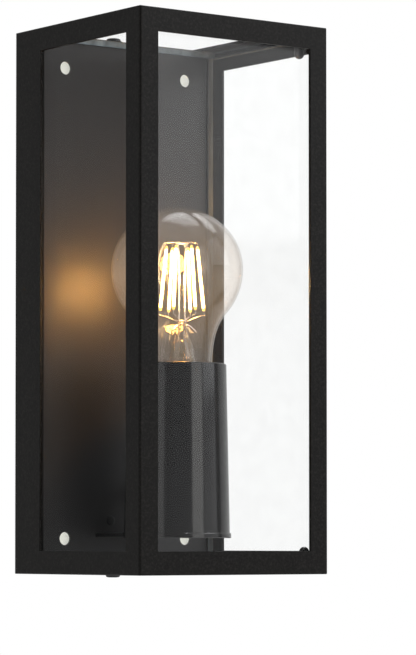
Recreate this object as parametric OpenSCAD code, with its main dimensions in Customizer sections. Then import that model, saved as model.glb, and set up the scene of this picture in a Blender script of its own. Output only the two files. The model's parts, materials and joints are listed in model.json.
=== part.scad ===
// Outdoor wall lantern: a sheet-metal cage with glass slides over a wall tray,
// which carries an E27 lampholder in a tapered sleeve and a filament lamp.
// Frame: origin in the wall plane at the middle of the four wall holes,
// +Z up, +Y into the wall, so the front of the lantern faces -Y.

/* [Cage] */
// Width of the cage
cage_w = 110; // [108:1:114]
// Height of the cage
cage_h = 260; // [258:1:262]
// Depth of the cage, front to back
cage_d = 102; // [101:1:108]
// Distance from the cage's rear edge to the wall
stand_off = 2.8; // [2.6:0.1:3.2]
// Thickness of the cage's sheet
sheet_t = 1.5; // [1.2:0.1:1.5]
// Width of the front posts, seen from the front
front_bar = 10.4; // [8:0.2:12]
// Width of the front posts, seen from the side
side_bar = 11.2; // [8:0.2:14]
// Height of the top and bottom rails
rail_h = 11; // [8:0.5:13]
// Width of the flat posts beside the wall
rear_bar = 21; // [16:1:24]
// Depth of the rear rails on the top and the bottom
rear_rail = 8.5; // [8:0.5:10]
// Thickness of the glass panes
pane_t = 3; // [2.5:0.5:3]
// Radius of the corner lugs that hold the panes
lug_r = 2.4; // [2:0.1:2.6]

/* [Wall tray] */
// Width of the tray's front face
tray_w = 98.2; // [96:0.2:98.4]
// Height of the tray
tray_h = 254.4; // [252:0.2:254.6]
// Distance from the wall to the tray's front face
tray_d = 17.2; // [16.8:0.2:18]
// Thickness of the tray's sheet
tray_t = 1.2; // [1:0.1:1.2]
// Outer radius of the tray's bends
tray_r = 3.5; // [2.5:0.5:4]
// Thickness of the wall gasket
gasket_t = 2; // [1.5:0.5:2]
// Wall holes, left to right
hole_dx = 71.6; // [68:0.2:72]
// Wall holes, top to bottom
hole_dz = 226.3; // [224:0.1:227]
// Radius of the wall holes
hole_r = 3.15; // [2.75:0.05:3.3]

/* [Lampholder] */
// Distance from the wall to the lamp's axis
lamp_y = 58.8; // [58:0.2:60]
// Lowest point of the sleeve
sleeve_bottom = -112.9; // [-114:0.1:-112]
// Mouth of the sleeve
sleeve_top = -30.2; // [-32:0.1:-30]
// Outer radius of the sleeve at its mouth
sleeve_r_top = 23.5; // [23:0.1:24.5]
// Outer radius of the sleeve at its base
sleeve_r_base = 25.2; // [25:0.1:26]
// Pitch of the E27 thread
pitch = 3.629; // [3.629]
// Mean radius of the lamp cap's thread
cap_r = 12.65; // [12.6:0.01:12.7]
// Depth of the thread either side of its mean
thread_a = 0.5; // [0.4:0.05:0.5]
// Radial clearance between the lamp cap and the screw shell
thread_gap = 0.4; // [0.35:0.05:0.5]

/* [Lamp] */
// Greatest radius of the glass bulb
bulb_r = 31.4; // [29:0.1:32]
// Height of the greatest radius
bulb_mid = 14.9; // [13:0.1:16]
// Half height of the dome above it
dome_h = 29.7; // [28:0.1:31]
// Thickness of the bulb's glass
glass_t = 0.9; // [0.7:0.1:1]
// Number of filaments
filaments_n = 6; // [6:2:8]
// Distance of the filaments' tops from the stem's axis
filament_top_r = 7.4; // [6:0.2:8]
// Distance of the filaments' feet from the stem's axis
filament_foot_r = 10.5; // [9:0.5:11]

/* [Hidden] */
$fn = 64;

eps = 0.01;
half_w = cage_w / 2;
half_h = cage_h / 2;
front_y = -(cage_d + stand_off);
rear_y = -stand_off;
inner_x = half_w - sheet_t;
inner_z = half_h - sheet_t;
open_x = half_w - front_bar;

// Tray, behind the panes
tray_y = -tray_d;
tray_back = tray_y + tray_t;
flange_x = inner_x - 0.5;
gasket_y = -gasket_t;
side_pane_rear = tray_y + 1;
top_pane_rear = tray_y - 0.4;

// Cage screws, thin-headed M4
screw_y = rear_y - 3.5;
screw_r = 1.98;
screw_slot_r = 2.3;
nut_bore_r = 2.05;
screw_gap = 0.3;

// Lampholder levels, bottom to top
sleeve_wall = 2;
shelf_bottom = sleeve_bottom + 0.5;
shelf_top = shelf_bottom + 2;
bracket_w = 36;
base_bottom = -81;
body_bottom = -78;
cavity_top = -68;
socket_floor = -66;
body_top = -34.5;
body_r = 19;
socket_r = 14.2;
shell_bottom = -62;
shell_top = -39.5;
shell_mean = cap_r + thread_gap;
wire_r = 1;
wire_z = -90;
wire_x = 6;

// Lamp levels, bottom to top
tip_z = -60.4;
cap_bottom = -56.4;
cap_thread_top = -39;
cap_top = -34.6;
skirt_r = 12.9;
neck_r = 12.25;
throat_z = -29;
throat_r = 16.6;
stem_top = -10;
stem_x = 1.9;
stem_y = -1.4;
filament_top_z = 25.8;
filament_foot_z = -4.7;
filament_turn = 31;

// ---------- helpers ----------

// A straight round rod from p to q
module rod(p, q, r) {
    v = q - p;
    len = norm(v);
    translate(p)
        rotate([0, acos(v.z / len), atan2(v.y, v.x)])
            cylinder(r = r, h = len, $fn = 24);
}

// A block between two corners
module block(lo, hi) {
    translate(lo) cube(hi - lo);
}

// Both mirror images in X
module left_and_right() {
    children();
    mirror([1, 0, 0]) children();
}

// Triangles of a skin through a closed loop of rings, n points to a ring
function loop_faces(m, n) = [
    for (i = [0 : m - 1], j = [0 : n - 1])
        let (a = i * n + j, b = i * n + (j + 1) % n,
             c = ((i + 1) % m) * n + j, d = ((i + 1) % m) * n + (j + 1) % n)
            each [[a, c, b], [b, c, d]]
];

module ring_loop(rings) {
    polyhedron([for (r = rings) each r], loop_faces(len(rings), len(rings[0])));
}

// Radius of a right-hand thread at angle a and height z
function thread_at(mean, a, z, amount) = mean + thread_a * amount * cos(a - 360 * z / pitch);

// One ring of points, round the lamp's axis
function ring_at(z, n, radius) = [
    for (j = [0 : n - 1])
        let (a = 360 * j / n, r = radius(a))
            [r * cos(a), r * sin(a) - lamp_y, z]
];

// Smooth line that follows control points, as a cubic B-spline with k steps a span
function spline(p, k) = [
    for (i = [0 : len(p) - 2], s = [0 : k - 1])
        let (a = p[max(i - 1, 0)], b = p[i], c = p[i + 1], d = p[min(i + 2, len(p) - 1)], t = s / k)
            ((1 - t) ^ 3 * a + (3 * t ^ 3 - 6 * t ^ 2 + 4) * b
             + (1 + 3 * t + 3 * t ^ 2 - 3 * t ^ 3) * c + t ^ 3 * d) / 6,
    p[len(p) - 1]
];

function unit(v) = v / norm(v);

// A tube of radius r swept along a line of points, with flat ends
module sweep(line, r, sides = 8, ref = [1, 0.1, 0.05]) {
    last = len(line) - 1;
    points = [
        for (i = [0 : last])
            let (t = unit(line[min(i + 1, last)] - line[max(i - 1, 0)]),
                 u = unit(cross(t, ref)), v = cross(t, u))
                for (j = [0 : sides - 1])
                    line[i] + r * (u * cos(360 * j / sides) + v * sin(360 * j / sides))
    ];
    faces = [
        [for (j = [0 : sides - 1]) j],
        [for (j = [sides - 1 : -1 : 0]) last * sides + j],
        for (i = [0 : last - 1], j = [0 : sides - 1])
            let (a = i * sides + j, b = i * sides + (j + 1) % sides)
                each [[a, a + sides, b], [b, a + sides, b + sides]]
    ];
    polyhedron(points, faces);
}

// Places children upright at the lamp's axis
module at_lamp(z = 0) {
    translate([0, -lamp_y, z]) children();
}

// ---------- cage ----------

cage_color = [0.13, 0.13, 0.13];
glass_color = [0.8, 0.9, 0.92, 0.3];
plastic_color = [0.1, 0.1, 0.11];
brass_color = [0.78, 0.63, 0.3];
steel_color = [0.7, 0.7, 0.72];

// Folded angle of the front posts: a rounded bend, one leg on the front, one on the side
module post_profile() {
    translate([sheet_t, 0]) square([front_bar - sheet_t, sheet_t]);
    translate([0, sheet_t]) square([sheet_t, side_bar - sheet_t]);
    intersection() {
        translate([sheet_t, sheet_t]) circle(r = sheet_t);
        square(sheet_t);
    }
}

module post_front_left() {
    color(cage_color)
        translate([-half_w, front_y, -half_h])
            linear_extrude(cage_h) post_profile();
}

module post_front_right() {
    mirror([1, 0, 0]) post_front_left();
}

module post_rear_left() {
    color(cage_color)
        block([-half_w, rear_y - rear_bar, -half_h], [-inner_x, rear_y, half_h]);
}

module post_rear_right() {
    mirror([1, 0, 0]) post_rear_left();
}

// Angle between the front posts: one leg on the front, one on the top
module rail_top_front() {
    color(cage_color) {
        block([-open_x, front_y, half_h - rail_h], [open_x, front_y + sheet_t, half_h]);
        block([-open_x, front_y + sheet_t - eps, inner_z], [open_x, front_y + rail_h, half_h]);
    }
}

// Angle along a side: one leg between the posts, one on the top over the full depth
module rail_top_left() {
    color(cage_color) {
        block([-half_w, front_y + side_bar, half_h - rail_h], [-inner_x, rear_y - rear_bar, half_h]);
        block([-inner_x, front_y + sheet_t, inner_z], [-open_x, rear_y, half_h]);
    }
}

module rail_top_right() {
    mirror([1, 0, 0]) rail_top_left();
}

// Strip at the rear with an open slot that slides round the cage screw
module rail_top_rear() {
    color(cage_color)
        difference() {
            block([-open_x, rear_y - rear_rail, inner_z], [open_x, rear_y, half_h]);
            translate([0, screw_y, inner_z - 1]) cylinder(r = screw_slot_r, h = sheet_t + 2);
            block([-screw_slot_r, screw_y, inner_z - 1], [screw_slot_r, rear_y + 1, half_h + 1]);
        }
}

module rail_bottom_front() {
    mirror([0, 0, 1]) rail_top_front();
}

module rail_bottom_left() {
    mirror([0, 0, 1]) rail_top_left();
}

module rail_bottom_right() {
    mirror([0, 0, 1]) rail_top_right();
}

module rail_bottom_rear() {
    mirror([0, 0, 1]) rail_top_rear();
}

module glass_front() {
    color(glass_color)
        block([pane_t - inner_x, front_y + sheet_t, -inner_z],
              [inner_x - pane_t, front_y + sheet_t + pane_t, inner_z - pane_t]);
}

module glass_left() {
    color(glass_color)
        block([-inner_x, front_y + sheet_t, -inner_z],
              [pane_t - inner_x, side_pane_rear, inner_z - pane_t]);
}

module glass_right() {
    mirror([1, 0, 0]) glass_left();
}

module glass_top() {
    color(glass_color)
        block([-inner_x, front_y + sheet_t, inner_z - pane_t], [inner_x, top_pane_rear, inner_z]);
}

// Round-nosed lugs in the four front corners, against the side panes
module glass_lugs() {
    top_y = front_y + 12.8;
    bottom_y = front_y + 9.5;
    lug_x = inner_x - pane_t - lug_r;
    top_nose = 116 + lug_r;
    bottom_nose = -117 - lug_r;
    color(plastic_color)
        left_and_right() {
            translate([lug_x, top_y, top_nose]) {
                sphere(r = lug_r, $fn = 32);
                cylinder(r = lug_r, h = inner_z - pane_t - top_nose);
            }
            translate([lug_x, bottom_y, bottom_nose]) sphere(r = lug_r, $fn = 32);
            translate([lug_x, bottom_y, -inner_z]) cylinder(r = lug_r, h = inner_z + bottom_nose);
        }
}

// ---------- wall tray ----------

// Outline of the tray, open to the back, with the two front corners rounded
module tray_outline(w, d, r) {
    translate([-w / 2, r]) square([w, d - r]);
    translate([-w / 2 + r, 0]) square([w - 2 * r, r + eps]);
    for (s = [-1, 1])
        translate([s * (w / 2 - r), r]) circle(r = r);
}

// Block with rounded front edges along all four sides
module tray_block(w, h, d, r) {
    intersection() {
        linear_extrude(h, center = true) tray_outline(w, d, r);
        rotate([0, 90, 0]) linear_extrude(w + 2, center = true) tray_outline(h, d, r);
    }
}

module at_wall_holes() {
    for (sx = [-1, 1], sz = [-1, 1])
        translate([sx * hole_dx / 2, 0, sz * hole_dz / 2])
            rotate([90, 0, 0]) children();
}

module wall_tray() {
    depth = tray_d - gasket_t;
    color([0.2, 0.2, 0.21])
        difference() {
            union() {
                difference() {
                    translate([0, tray_y, 0]) tray_block(tray_w, tray_h, depth, tray_r);
                    translate([0, tray_back, 0])
                        tray_block(tray_w - 2 * tray_t, tray_h - 2 * tray_t, depth, tray_r - tray_t);
                }
                left_and_right()
                    block([tray_w / 2 - tray_t, gasket_y - tray_t, -tray_h / 2],
                          [flange_x, gasket_y, tray_h / 2]);
            }
            at_wall_holes() cylinder(r = hole_r, h = tray_d + 1);
            translate([wire_x, 0, wire_z]) rotate([90, 0, 0]) cylinder(r = 4, h = tray_d + 1);
            translate([0, screw_y, -half_h]) cylinder(r = 3, h = cage_h);
        }
}

// Foam frame between the tray's flange and the wall
module wall_gasket() {
    color([0.06, 0.06, 0.06])
        difference() {
            block([-flange_x, gasket_y, -tray_h / 2], [flange_x, 0, tray_h / 2]);
            block([-45, gasket_y - 1, -120], [45, 1, 120]);
        }
}

// Tubes that keep the tray from crushing when the wall screws are tightened
module wall_spacers() {
    color([0.82, 0.82, 0.8])
        at_wall_holes()
            difference() {
                cylinder(r = 5, h = -tray_back);
                translate([0, 0, -1]) cylinder(r = hole_r, h = tray_d + 2);
            }
}

// Flanged threaded bush in the tray's top wall, and its twin in the bottom wall
module rivet_nut() {
    wall_top = tray_h / 2;
    translate([0, screw_y, 0])
        difference() {
            union() {
                translate([0, 0, wall_top - 8]) cylinder(r = 3, h = 8);
                translate([0, 0, wall_top]) cylinder(r1 = 4, r2 = 3.6, h = 1);
            }
            translate([0, 0, wall_top - 9]) cylinder(r = nut_bore_r, h = 11);
        }
}

module rivet_nuts() {
    color(steel_color) {
        rivet_nut();
        mirror([0, 0, 1]) rivet_nut();
    }
}

// Thin-headed M4 screw with a cross recess
module cage_screw() {
    head = half_h + screw_gap + 0.6;
    head_r = 3.5;
    head_h = 1.2;
    translate([0, screw_y, 0])
        difference() {
            union() {
                translate([0, 0, head - 9.5]) cylinder(r = screw_r, h = 9.5 + eps);
                translate([0, 0, head]) cylinder(r = head_r, h = head_h - 0.4);
                translate([0, 0, head + head_h - 0.4]) cylinder(r1 = head_r, r2 = head_r - 0.6, h = 0.4);
            }
            translate([0, 0, head + head_h]) {
                cube([3.8, 0.9, 1.6], center = true);
                cube([0.9, 3.8, 1.6], center = true);
            }
        }
}

module cage_washer() {
    translate([0, screw_y, half_h + screw_gap])
        difference() {
            cylinder(r = 4, h = 0.5);
            translate([0, 0, -1]) cylinder(r = screw_r + 0.08, h = 3);
        }
}

module top_screw() {
    color(plastic_color) cage_screw();
}

module top_washer() {
    color(plastic_color) cage_washer();
}

module bottom_screw() {
    mirror([0, 0, 1]) top_screw();
}

module bottom_washer() {
    mirror([0, 0, 1]) top_washer();
}

// ---------- connections behind the tray's face ----------

block_pitch = 10;
block_lo = [-15, tray_back, -62];
block_hi = [15, -4, -44];
wire_in_y = -9.5;

// Three-pole terminal block with wire ways along Z and screw wells open to the wall
module terminal_block() {
    color([0.92, 0.92, 0.9])
        difference() {
            block(block_lo, block_hi);
            for (x = [-block_pitch, 0, block_pitch]) {
                translate([x, wire_in_y, block_lo.z - 1]) cylinder(r = 3, h = 20);
                for (z = [-57, -49])
                    translate([x, wire_in_y, z]) rotate([-90, 0, 0]) cylinder(r = 2, h = 10);
            }
        }
}

module terminal_inserts() {
    color(brass_color)
        for (x = [-block_pitch, 0, block_pitch])
            difference() {
                translate([x, wire_in_y, -61]) cylinder(r = 3, h = 16);
                translate([x, wire_in_y, -62]) cylinder(r = 1.6, h = 18);
                for (z = [-57, -49])
                    translate([x, wire_in_y, z]) rotate([-90, 0, 0]) cylinder(r = 1.5, h = 5);
            }
}

module terminal_screws() {
    color(steel_color)
        for (x = [-block_pitch, 0, block_pitch], z = [-57, -49])
            translate([x, wire_in_y + 1.4, z])
                rotate([-90, 0, 0])
                    difference() {
                        cylinder(r = 1.5, h = 3.6);
                        translate([0, 0, 3.6]) cube([4, 0.6, 1.4], center = true);
                    }
}

earth_x = 28;
earth_z = -76;

// Weld stud on the back of the tray's face, for the protective earth
module earth_stud() {
    color(steel_color)
        translate([earth_x, tray_back + 10, earth_z])
            rotate([90, 0, 0]) {
                cylinder(r = 2, h = 10);
                translate([0, 0, 9.4]) cylinder(r = 3, h = 0.6);
            }
}

// Ring lug whose crimp barrel points sideways, for the earth wire
module earth_lug() {
    barrel_r = 1.8;
    barrel_x = -12;
    color(steel_color)
        translate([earth_x, tray_back + 0.6, earth_z])
            difference() {
                union() {
                    rotate([-90, 0, 0]) cylinder(r = 4, h = 0.8);
                    translate([-8.5, 0, -1.5]) cube([6, 0.8, 3]);
                    translate([barrel_x, barrel_r, 0]) rotate([0, 90, 0]) cylinder(r = barrel_r, h = 5);
                }
                rotate([-90, 0, 0]) translate([0, 0, -1]) cylinder(r = 2.05, h = 4);
                translate([barrel_x - 1, barrel_r, 0]) rotate([0, 90, 0]) cylinder(r = 1.15, h = 5);
            }
}

module earth_nut() {
    color(brass_color)
        translate([earth_x, tray_back + 1.4, earth_z])
            rotate([-90, 0, 0])
                difference() {
                    cylinder(r = 3.9, h = 3.2, $fn = 6);
                    translate([0, 0, -1]) cylinder(r = 2.02, h = 6);
                }
}

// Grommet in the tray's face where the lampholder's wires pass
module wire_grommet() {
    color([0.05, 0.05, 0.05])
        translate([wire_x, tray_y, wire_z])
            rotate([-90, 0, 0])
                difference() {
                    union() {
                        translate([0, 0, -1.2]) cylinder(r = 5.2, h = 1.2);
                        cylinder(r = 4, h = tray_t);
                        translate([0, 0, tray_t]) cylinder(r = 5.2, h = 1.2);
                    }
                    translate([0, 0, -3]) cylinder(r = 3, h = 8);
                }
}

// Heat-proof sleeve round both wires between the tray and the lampholder
module wire_sleeve() {
    color([0.9, 0.9, 0.86])
        translate([wire_x, tray_y + 3, wire_z])
            rotate([90, 0, 0])
                difference() {
                    cylinder(r = 3, h = 22);
                    translate([0, 0, -1]) cylinder(r = 2.5, h = 24);
                }
}

// From the terminal block, forward through the sleeve and up into the lampholder
function wire_route(block_x, cross_x, holder_x) = [
    [block_x, wire_in_y, -56],
    [block_x, wire_in_y, -60],
    [block_x, wire_in_y, -66],
    [(block_x + cross_x) / 2, wire_in_y, -75],
    [cross_x, wire_in_y, -83],
    [cross_x, wire_in_y, wire_z],
    [cross_x, -16, wire_z],
    [cross_x, -22, wire_z],
    [cross_x, -28, wire_z],
    [cross_x, -34, wire_z],
    [cross_x, -40, wire_z],
    [(cross_x + holder_x) / 2, -48, wire_z],
    [holder_x, -lamp_y + 3, wire_z],
    [holder_x, -lamp_y, -87],
    [holder_x, -lamp_y, -83],
    [holder_x, -lamp_y, -79],
    [holder_x, -lamp_y, -74]
];

wire_pair = 1.25;

module live_wire() {
    color([0.45, 0.26, 0.12])
        sweep(spline(wire_route(-block_pitch, wire_x - wire_pair, -10), 2), wire_r);
}

module neutral_wire() {
    color([0.15, 0.3, 0.7])
        sweep(spline(wire_route(0, wire_x + wire_pair, 10), 2), wire_r);
}

module earth_wire() {
    lug_y = tray_back + 2.4;
    route = [
        [block_pitch, wire_in_y, -56],
        [block_pitch, wire_in_y, -60],
        [block_pitch, wire_in_y, -65],
        [block_pitch, -11, -72],
        [11, lug_y, earth_z],
        [13, lug_y, earth_z],
        [15, lug_y, earth_z],
        [19, lug_y, earth_z]
    ];
    color([0.45, 0.65, 0.15]) sweep(spline(route, 3), wire_r);
}

// ---------- lampholder ----------

// Angle spot-welded to the tray, with a round shelf that closes the sleeve
module holder_bracket() {
    leg_h = 14;
    leg_t = 1.5;
    color([0.16, 0.16, 0.17])
        difference() {
            union() {
                at_lamp(shelf_bottom) cylinder(r = sleeve_r_base - sleeve_wall - 0.1, h = 2);
                block([-bracket_w / 2, -lamp_y, shelf_bottom], [bracket_w / 2, tray_y, shelf_top]);
                block([-bracket_w / 2, tray_y - leg_t, shelf_top - eps],
                      [bracket_w / 2, tray_y, shelf_bottom + leg_h]);
            }
            at_lamp(shelf_bottom - 1) cylinder(r = 5.05, h = 4);
        }
}

module holder_nipple() {
    color(steel_color)
        at_lamp(shelf_bottom)
            difference() {
                cylinder(r = 5.05, h = body_bottom - shelf_bottom);
                translate([0, 0, -1]) cylinder(r = 3.6, h = body_bottom - shelf_bottom + 2);
            }
}

module nipple_nut() {
    color(steel_color)
        at_lamp(shelf_top)
            difference() {
                cylinder(r = 8, h = 3, $fn = 6);
                translate([0, 0, -1]) cylinder(r = 5.05, h = 5);
            }
}

// Outer radius of the tapered sleeve at height z
function sleeve_r(z) =
    sleeve_r_base + (sleeve_r_top - sleeve_r_base) * (z - sleeve_bottom) / (sleeve_top - sleeve_bottom);

// Tapered sleeve with a lip at its foot and a ledge that the lampholder clamps;
// a slot at the back lets the bracket in and a hole lets the wires in
module holder_sleeve() {
    lip = 0.6;
    lip_top = sleeve_bottom + 2.4;
    ledge_r = 17;
    ledge_bottom = base_bottom - 2;
    color(plastic_color)
        difference() {
            at_lamp()
                rotate_extrude($fn = 96)
                    polygon([
                        [sleeve_r_base - sleeve_wall, sleeve_bottom],
                        [sleeve_r_base + lip, sleeve_bottom],
                        [sleeve_r_base + lip, lip_top],
                        [sleeve_r(lip_top), lip_top],
                        [sleeve_r_top, sleeve_top],
                        [sleeve_r_top - sleeve_wall, sleeve_top],
                        [sleeve_r(base_bottom) - sleeve_wall, base_bottom],
                        [ledge_r, base_bottom],
                        [ledge_r, ledge_bottom],
                        [sleeve_r(ledge_bottom) - sleeve_wall, ledge_bottom]
                    ]);
            block([-bracket_w / 2 - 0.3, -lamp_y, sleeve_bottom - 1],
                  [bracket_w / 2 + 0.3, tray_y, shelf_top + 0.3]);
            translate([wire_x, tray_y, wire_z]) rotate([90, 0, 0]) cylinder(r = 3.1, h = 30);
        }
}

// Cover on the nipple that closes the lampholder from below
module lampholder_base() {
    color([0.12, 0.12, 0.12])
        at_lamp(base_bottom)
            difference() {
                cylinder(r = body_r, h = body_bottom - base_bottom);
                translate([0, 0, -1]) cylinder(r = 5.05, h = 6);
                for (x = [-10, 10])
                    translate([x, 0, -1]) cylinder(r = 1.5, h = 6);
            }
}

// Insulating body: socket above, terminal cavity below, guide bore for the contact pin between
module lampholder_body() {
    color([0.16, 0.15, 0.14])
        at_lamp()
            difference() {
                translate([0, 0, body_bottom]) cylinder(r = body_r, h = body_top - body_bottom);
                translate([0, 0, socket_floor]) cylinder(r = socket_r, h = 40);
                translate([0, 0, body_bottom - 1]) cylinder(r = 16, h = cavity_top - body_bottom + 1);
                translate([0, 0, cavity_top - 1]) cylinder(r = 1.68, h = 4);
                block([12.6, -2.6, cavity_top - 1], [14, 2.6, socket_floor + 1]);
            }
}

// Threaded shell, plain outside and threaded inside
module screw_shell() {
    n = 30;
    rows = 36;
    step = (shell_top - shell_bottom) / rows;
    inside = [
        for (i = [rows : -1 : 0])
            let (z = shell_bottom + step * i)
                ring_at(z, n, function(a) thread_at(shell_mean, a, z, 1))
    ];
    outside = [
        ring_at(shell_bottom, n, function(a) socket_r - 0.02),
        ring_at(shell_top, n, function(a) socket_r - 0.02)
    ];
    color(brass_color) ring_loop(concat(outside, inside));
}

module holder_terminals() {
    color(brass_color)
        left_and_right()
            difference() {
                block([6.5, -lamp_y - 4, -76.5], [12.7, -lamp_y + 4, cavity_top]);
                translate([10, -lamp_y, -78]) cylinder(r = 1.5, h = 6);
            }
}

// Strip from one terminal to the shell, and from the other to under the contact pin
module contact_strips() {
    color(brass_color)
        at_lamp() {
            block([12.7, -2.5, -70], [13.8, 2.5, shell_bottom]);
            block([-6.5, -2.5, -72], [3, 2.5, -71.3]);
        }
}

// Sprung pin that meets the lamp's centre contact
module contact_pin() {
    color(brass_color)
        at_lamp() {
            translate([0, 0, -62.2]) cylinder(r = 3.6, h = 1.5);
            translate([0, 0, -69.8]) cylinder(r = 1.6, h = 7.7);
        }
}

// Coil spring under the pin's head, drawn at its pressed length
module contact_spring() {
    coil_r = 2.6;
    turns = 3;
    steps = 14;
    low = socket_floor + 0.3;
    high = -63.3;
    line = [
        for (i = [0 : turns * steps])
            let (a = 360 * i / steps)
                [coil_r * cos(a), coil_r * sin(a) - lamp_y, low + (high - low) * i / (turns * steps)]
    ];
    color(steel_color) sweep(line, 0.3, 6, [0, 0, 1]);
}

// ---------- lamp ----------

// Soft ring that closes the gap round the lamp's neck; it lifts with the lamp but doesn't turn
module neck_seal() {
    color([0.05, 0.05, 0.05])
        at_lamp(body_top + 0.3)
            difference() {
                cylinder(r = 21.1, h = 3);
                translate([0, 0, -1]) cylinder(r = 15.6, h = 5);
            }
}

// Points of a cubic Bezier curve without its last point
function bezier(p, k) = [
    for (i = [0 : k - 1])
        let (t = i / k, s = 1 - t)
            s ^ 3 * p[0] + 3 * s ^ 2 * t * p[1] + 3 * s * t ^ 2 * p[2] + t ^ 3 * p[3]
];

join_angle = 40;

// Outline of the bulb from the dome's top to the neck, moved in by d
function bulb_outline(d) = let (
    r = bulb_r - d,
    join = [r * cos(join_angle), bulb_mid - r * sin(join_angle)],
    throat = [throat_r - d, throat_z],
    foot = [neck_r - d, -35]
) [
    for (a = [90 : -6 : 0]) [r * cos(a), bulb_mid + (dome_h - d) * sin(a)],
    for (a = [5 : 5 : join_angle - 5]) [r * cos(a), bulb_mid - r * sin(a)],
    each bezier([join, join + [-6.1, -7.2], throat + [0.7, 9], throat], 8),
    each bezier([throat, throat + [-0.4, -3.2], foot + [0.1, 3.6], foot], 5),
    foot,
    [neck_r - d, -37]
];

function reversed(list) = [for (i = [len(list) - 1 : -1 : 0]) list[i]];

module bulb_glass() {
    color([0.95, 0.9, 0.8, 0.3])
        at_lamp()
            rotate_extrude($fn = 96)
                polygon(concat(bulb_outline(0), reversed(bulb_outline(glass_t))));
}

// Amount of thread at height z: none on the lead-in and on the skirt
function cap_thread(z) = min(1, max(0, (z - cap_bottom) / 1.2), max(0, (cap_thread_top + 0.6 - z) / 1.2));

// Mean radius of the cap at height z
function cap_mean(z) =
    z < cap_bottom + 1 ? cap_r - 1.2 + 1.2 * (z - cap_bottom)
    : z > cap_thread_top ? min(skirt_r, cap_r + (z - cap_thread_top) * 0.4)
    : cap_r;

module bulb_cap() {
    n = 30;
    rows = 37;
    step = (cap_top - cap_bottom) / rows;
    outside = [
        for (i = [0 : rows])
            let (z = cap_bottom + step * i)
                ring_at(z, n, function(a) thread_at(cap_mean(z), a, z, cap_thread(z)))
    ];
    inside = [
        ring_at(cap_top, n, function(a) neck_r + 0.2),
        ring_at(cap_thread_top + 1.5, n, function(a) neck_r + 0.2),
        ring_at(cap_thread_top, n, function(a) 11.6),
        ring_at(cap_bottom, n, function(a) 10.9)
    ];
    color(brass_color) ring_loop(concat(outside, inside));
}

// Black glass between the cap and the centre contact
module cap_insulator() {
    color([0.03, 0.03, 0.03])
        at_lamp()
            rotate_extrude()
                polygon([[0, tip_z + 1.2], [4.8, tip_z + 1.2], [6, tip_z + 2], [10.7, cap_bottom + 0.2],
                         [10.7, cap_bottom + 1.6], [0, cap_bottom + 1.6]]);
}

module cap_contact() {
    color(brass_color)
        at_lamp(tip_z)
            rotate_extrude()
                polygon([[0, 0], [3, 0], [4.4, 0.5], [4.8, 1.2], [0, 1.2]]);
}

// Flared glass stem that carries the filament wires
module lamp_stem() {
    color([0.9, 0.9, 0.85, 0.5])
        translate([stem_x, stem_y - lamp_y, 0])
            rotate_extrude()
                polygon([[0, stem_top], [2.2, stem_top - 0.3], [4.2, stem_top - 2.5], [4.9, stem_top - 6],
                         [5.3, stem_top - 14], [6.2, -27.5], [8.4, -30.5], [8.4, -31.3], [5, -29],
                         [4, -26], [3.6, stem_top - 10], [0, stem_top - 7]]);
}

function on_stem(r, a, z) = [stem_x + r * cos(a), stem_y - lamp_y + r * sin(a), z];

function filament_angle(i) = filament_turn + 360 * i / filaments_n;

// Two support wires with a spider of fine links at the top and the bottom
module stem_wires() {
    mast_r = 1.35;
    hub_r = 1.9;
    hub_h = 0.5;
    hub_z = filament_top_z + 2;
    link_in = 1.6;
    link_r = 0.25;
    color(steel_color) {
        for (a = [143, 323])
            rod(on_stem(mast_r, a, stem_top - 3), on_stem(mast_r, a, hub_z + 0.2), 0.4);
        for (z = [stem_top + 0.2, hub_z])
            translate(on_stem(0, 0, z)) cylinder(r = hub_r, h = hub_h);
        for (i = [0 : filaments_n - 1]) {
            a = filament_angle(i);
            rod(on_stem(link_in, a, hub_z + 0.25),
                on_stem(filament_top_r, a, filament_top_z + 0.5), link_r);
            rod(on_stem(link_in, a, stem_top + 0.45),
                on_stem(filament_foot_r, a, filament_foot_z - 0.5), link_r);
        }
    }
}

module filaments() {
    color([1, 0.85, 0.5])
        for (i = [0 : filaments_n - 1]) {
            a = filament_angle(i);
            rod(on_stem(filament_foot_r, a, filament_foot_z), on_stem(filament_top_r, a, filament_top_z), 0.9);
        }
}

// Driver inside the cap, with its largest component
module driver_board() {
    color([0.2, 0.5, 0.3])
        at_lamp() {
            block([-8, -0.8, -54], [8, 0.8, -39]);
            translate([-2, 0.8, -47]) rotate([-90, 0, 0]) cylinder(r = 3.2, h = 5);
            block([3, 0.8 - eps, -51], [7, 3.5, -45]);
        }
}

post_front_left();
post_front_right();
post_rear_left();
post_rear_right();
rail_top_front();
rail_top_left();
rail_top_right();
rail_top_rear();
rail_bottom_front();
rail_bottom_left();
rail_bottom_right();
rail_bottom_rear();
glass_front();
glass_left();
glass_right();
glass_top();
glass_lugs();
wall_tray();
wall_gasket();
wall_spacers();
rivet_nuts();
terminal_block();
terminal_inserts();
terminal_screws();
earth_stud();
earth_lug();
earth_nut();
wire_grommet();
wire_sleeve();
live_wire();
neutral_wire();
earth_wire();
holder_bracket();
holder_nipple();
nipple_nut();
holder_sleeve();
lampholder_base();
lampholder_body();
screw_shell();
holder_terminals();
contact_strips();
contact_pin();
contact_spring();
neck_seal();
bulb_glass();
bulb_cap();
cap_insulator();
cap_contact();
lamp_stem();
stem_wires();
filaments();
driver_board();
top_screw();
top_washer();
bottom_screw();
bottom_washer();
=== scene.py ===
"""Outdoor wall lantern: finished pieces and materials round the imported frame, in metres."""

import json
import math

import bmesh
import bpy
from mathutils import Matrix, Vector


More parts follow.
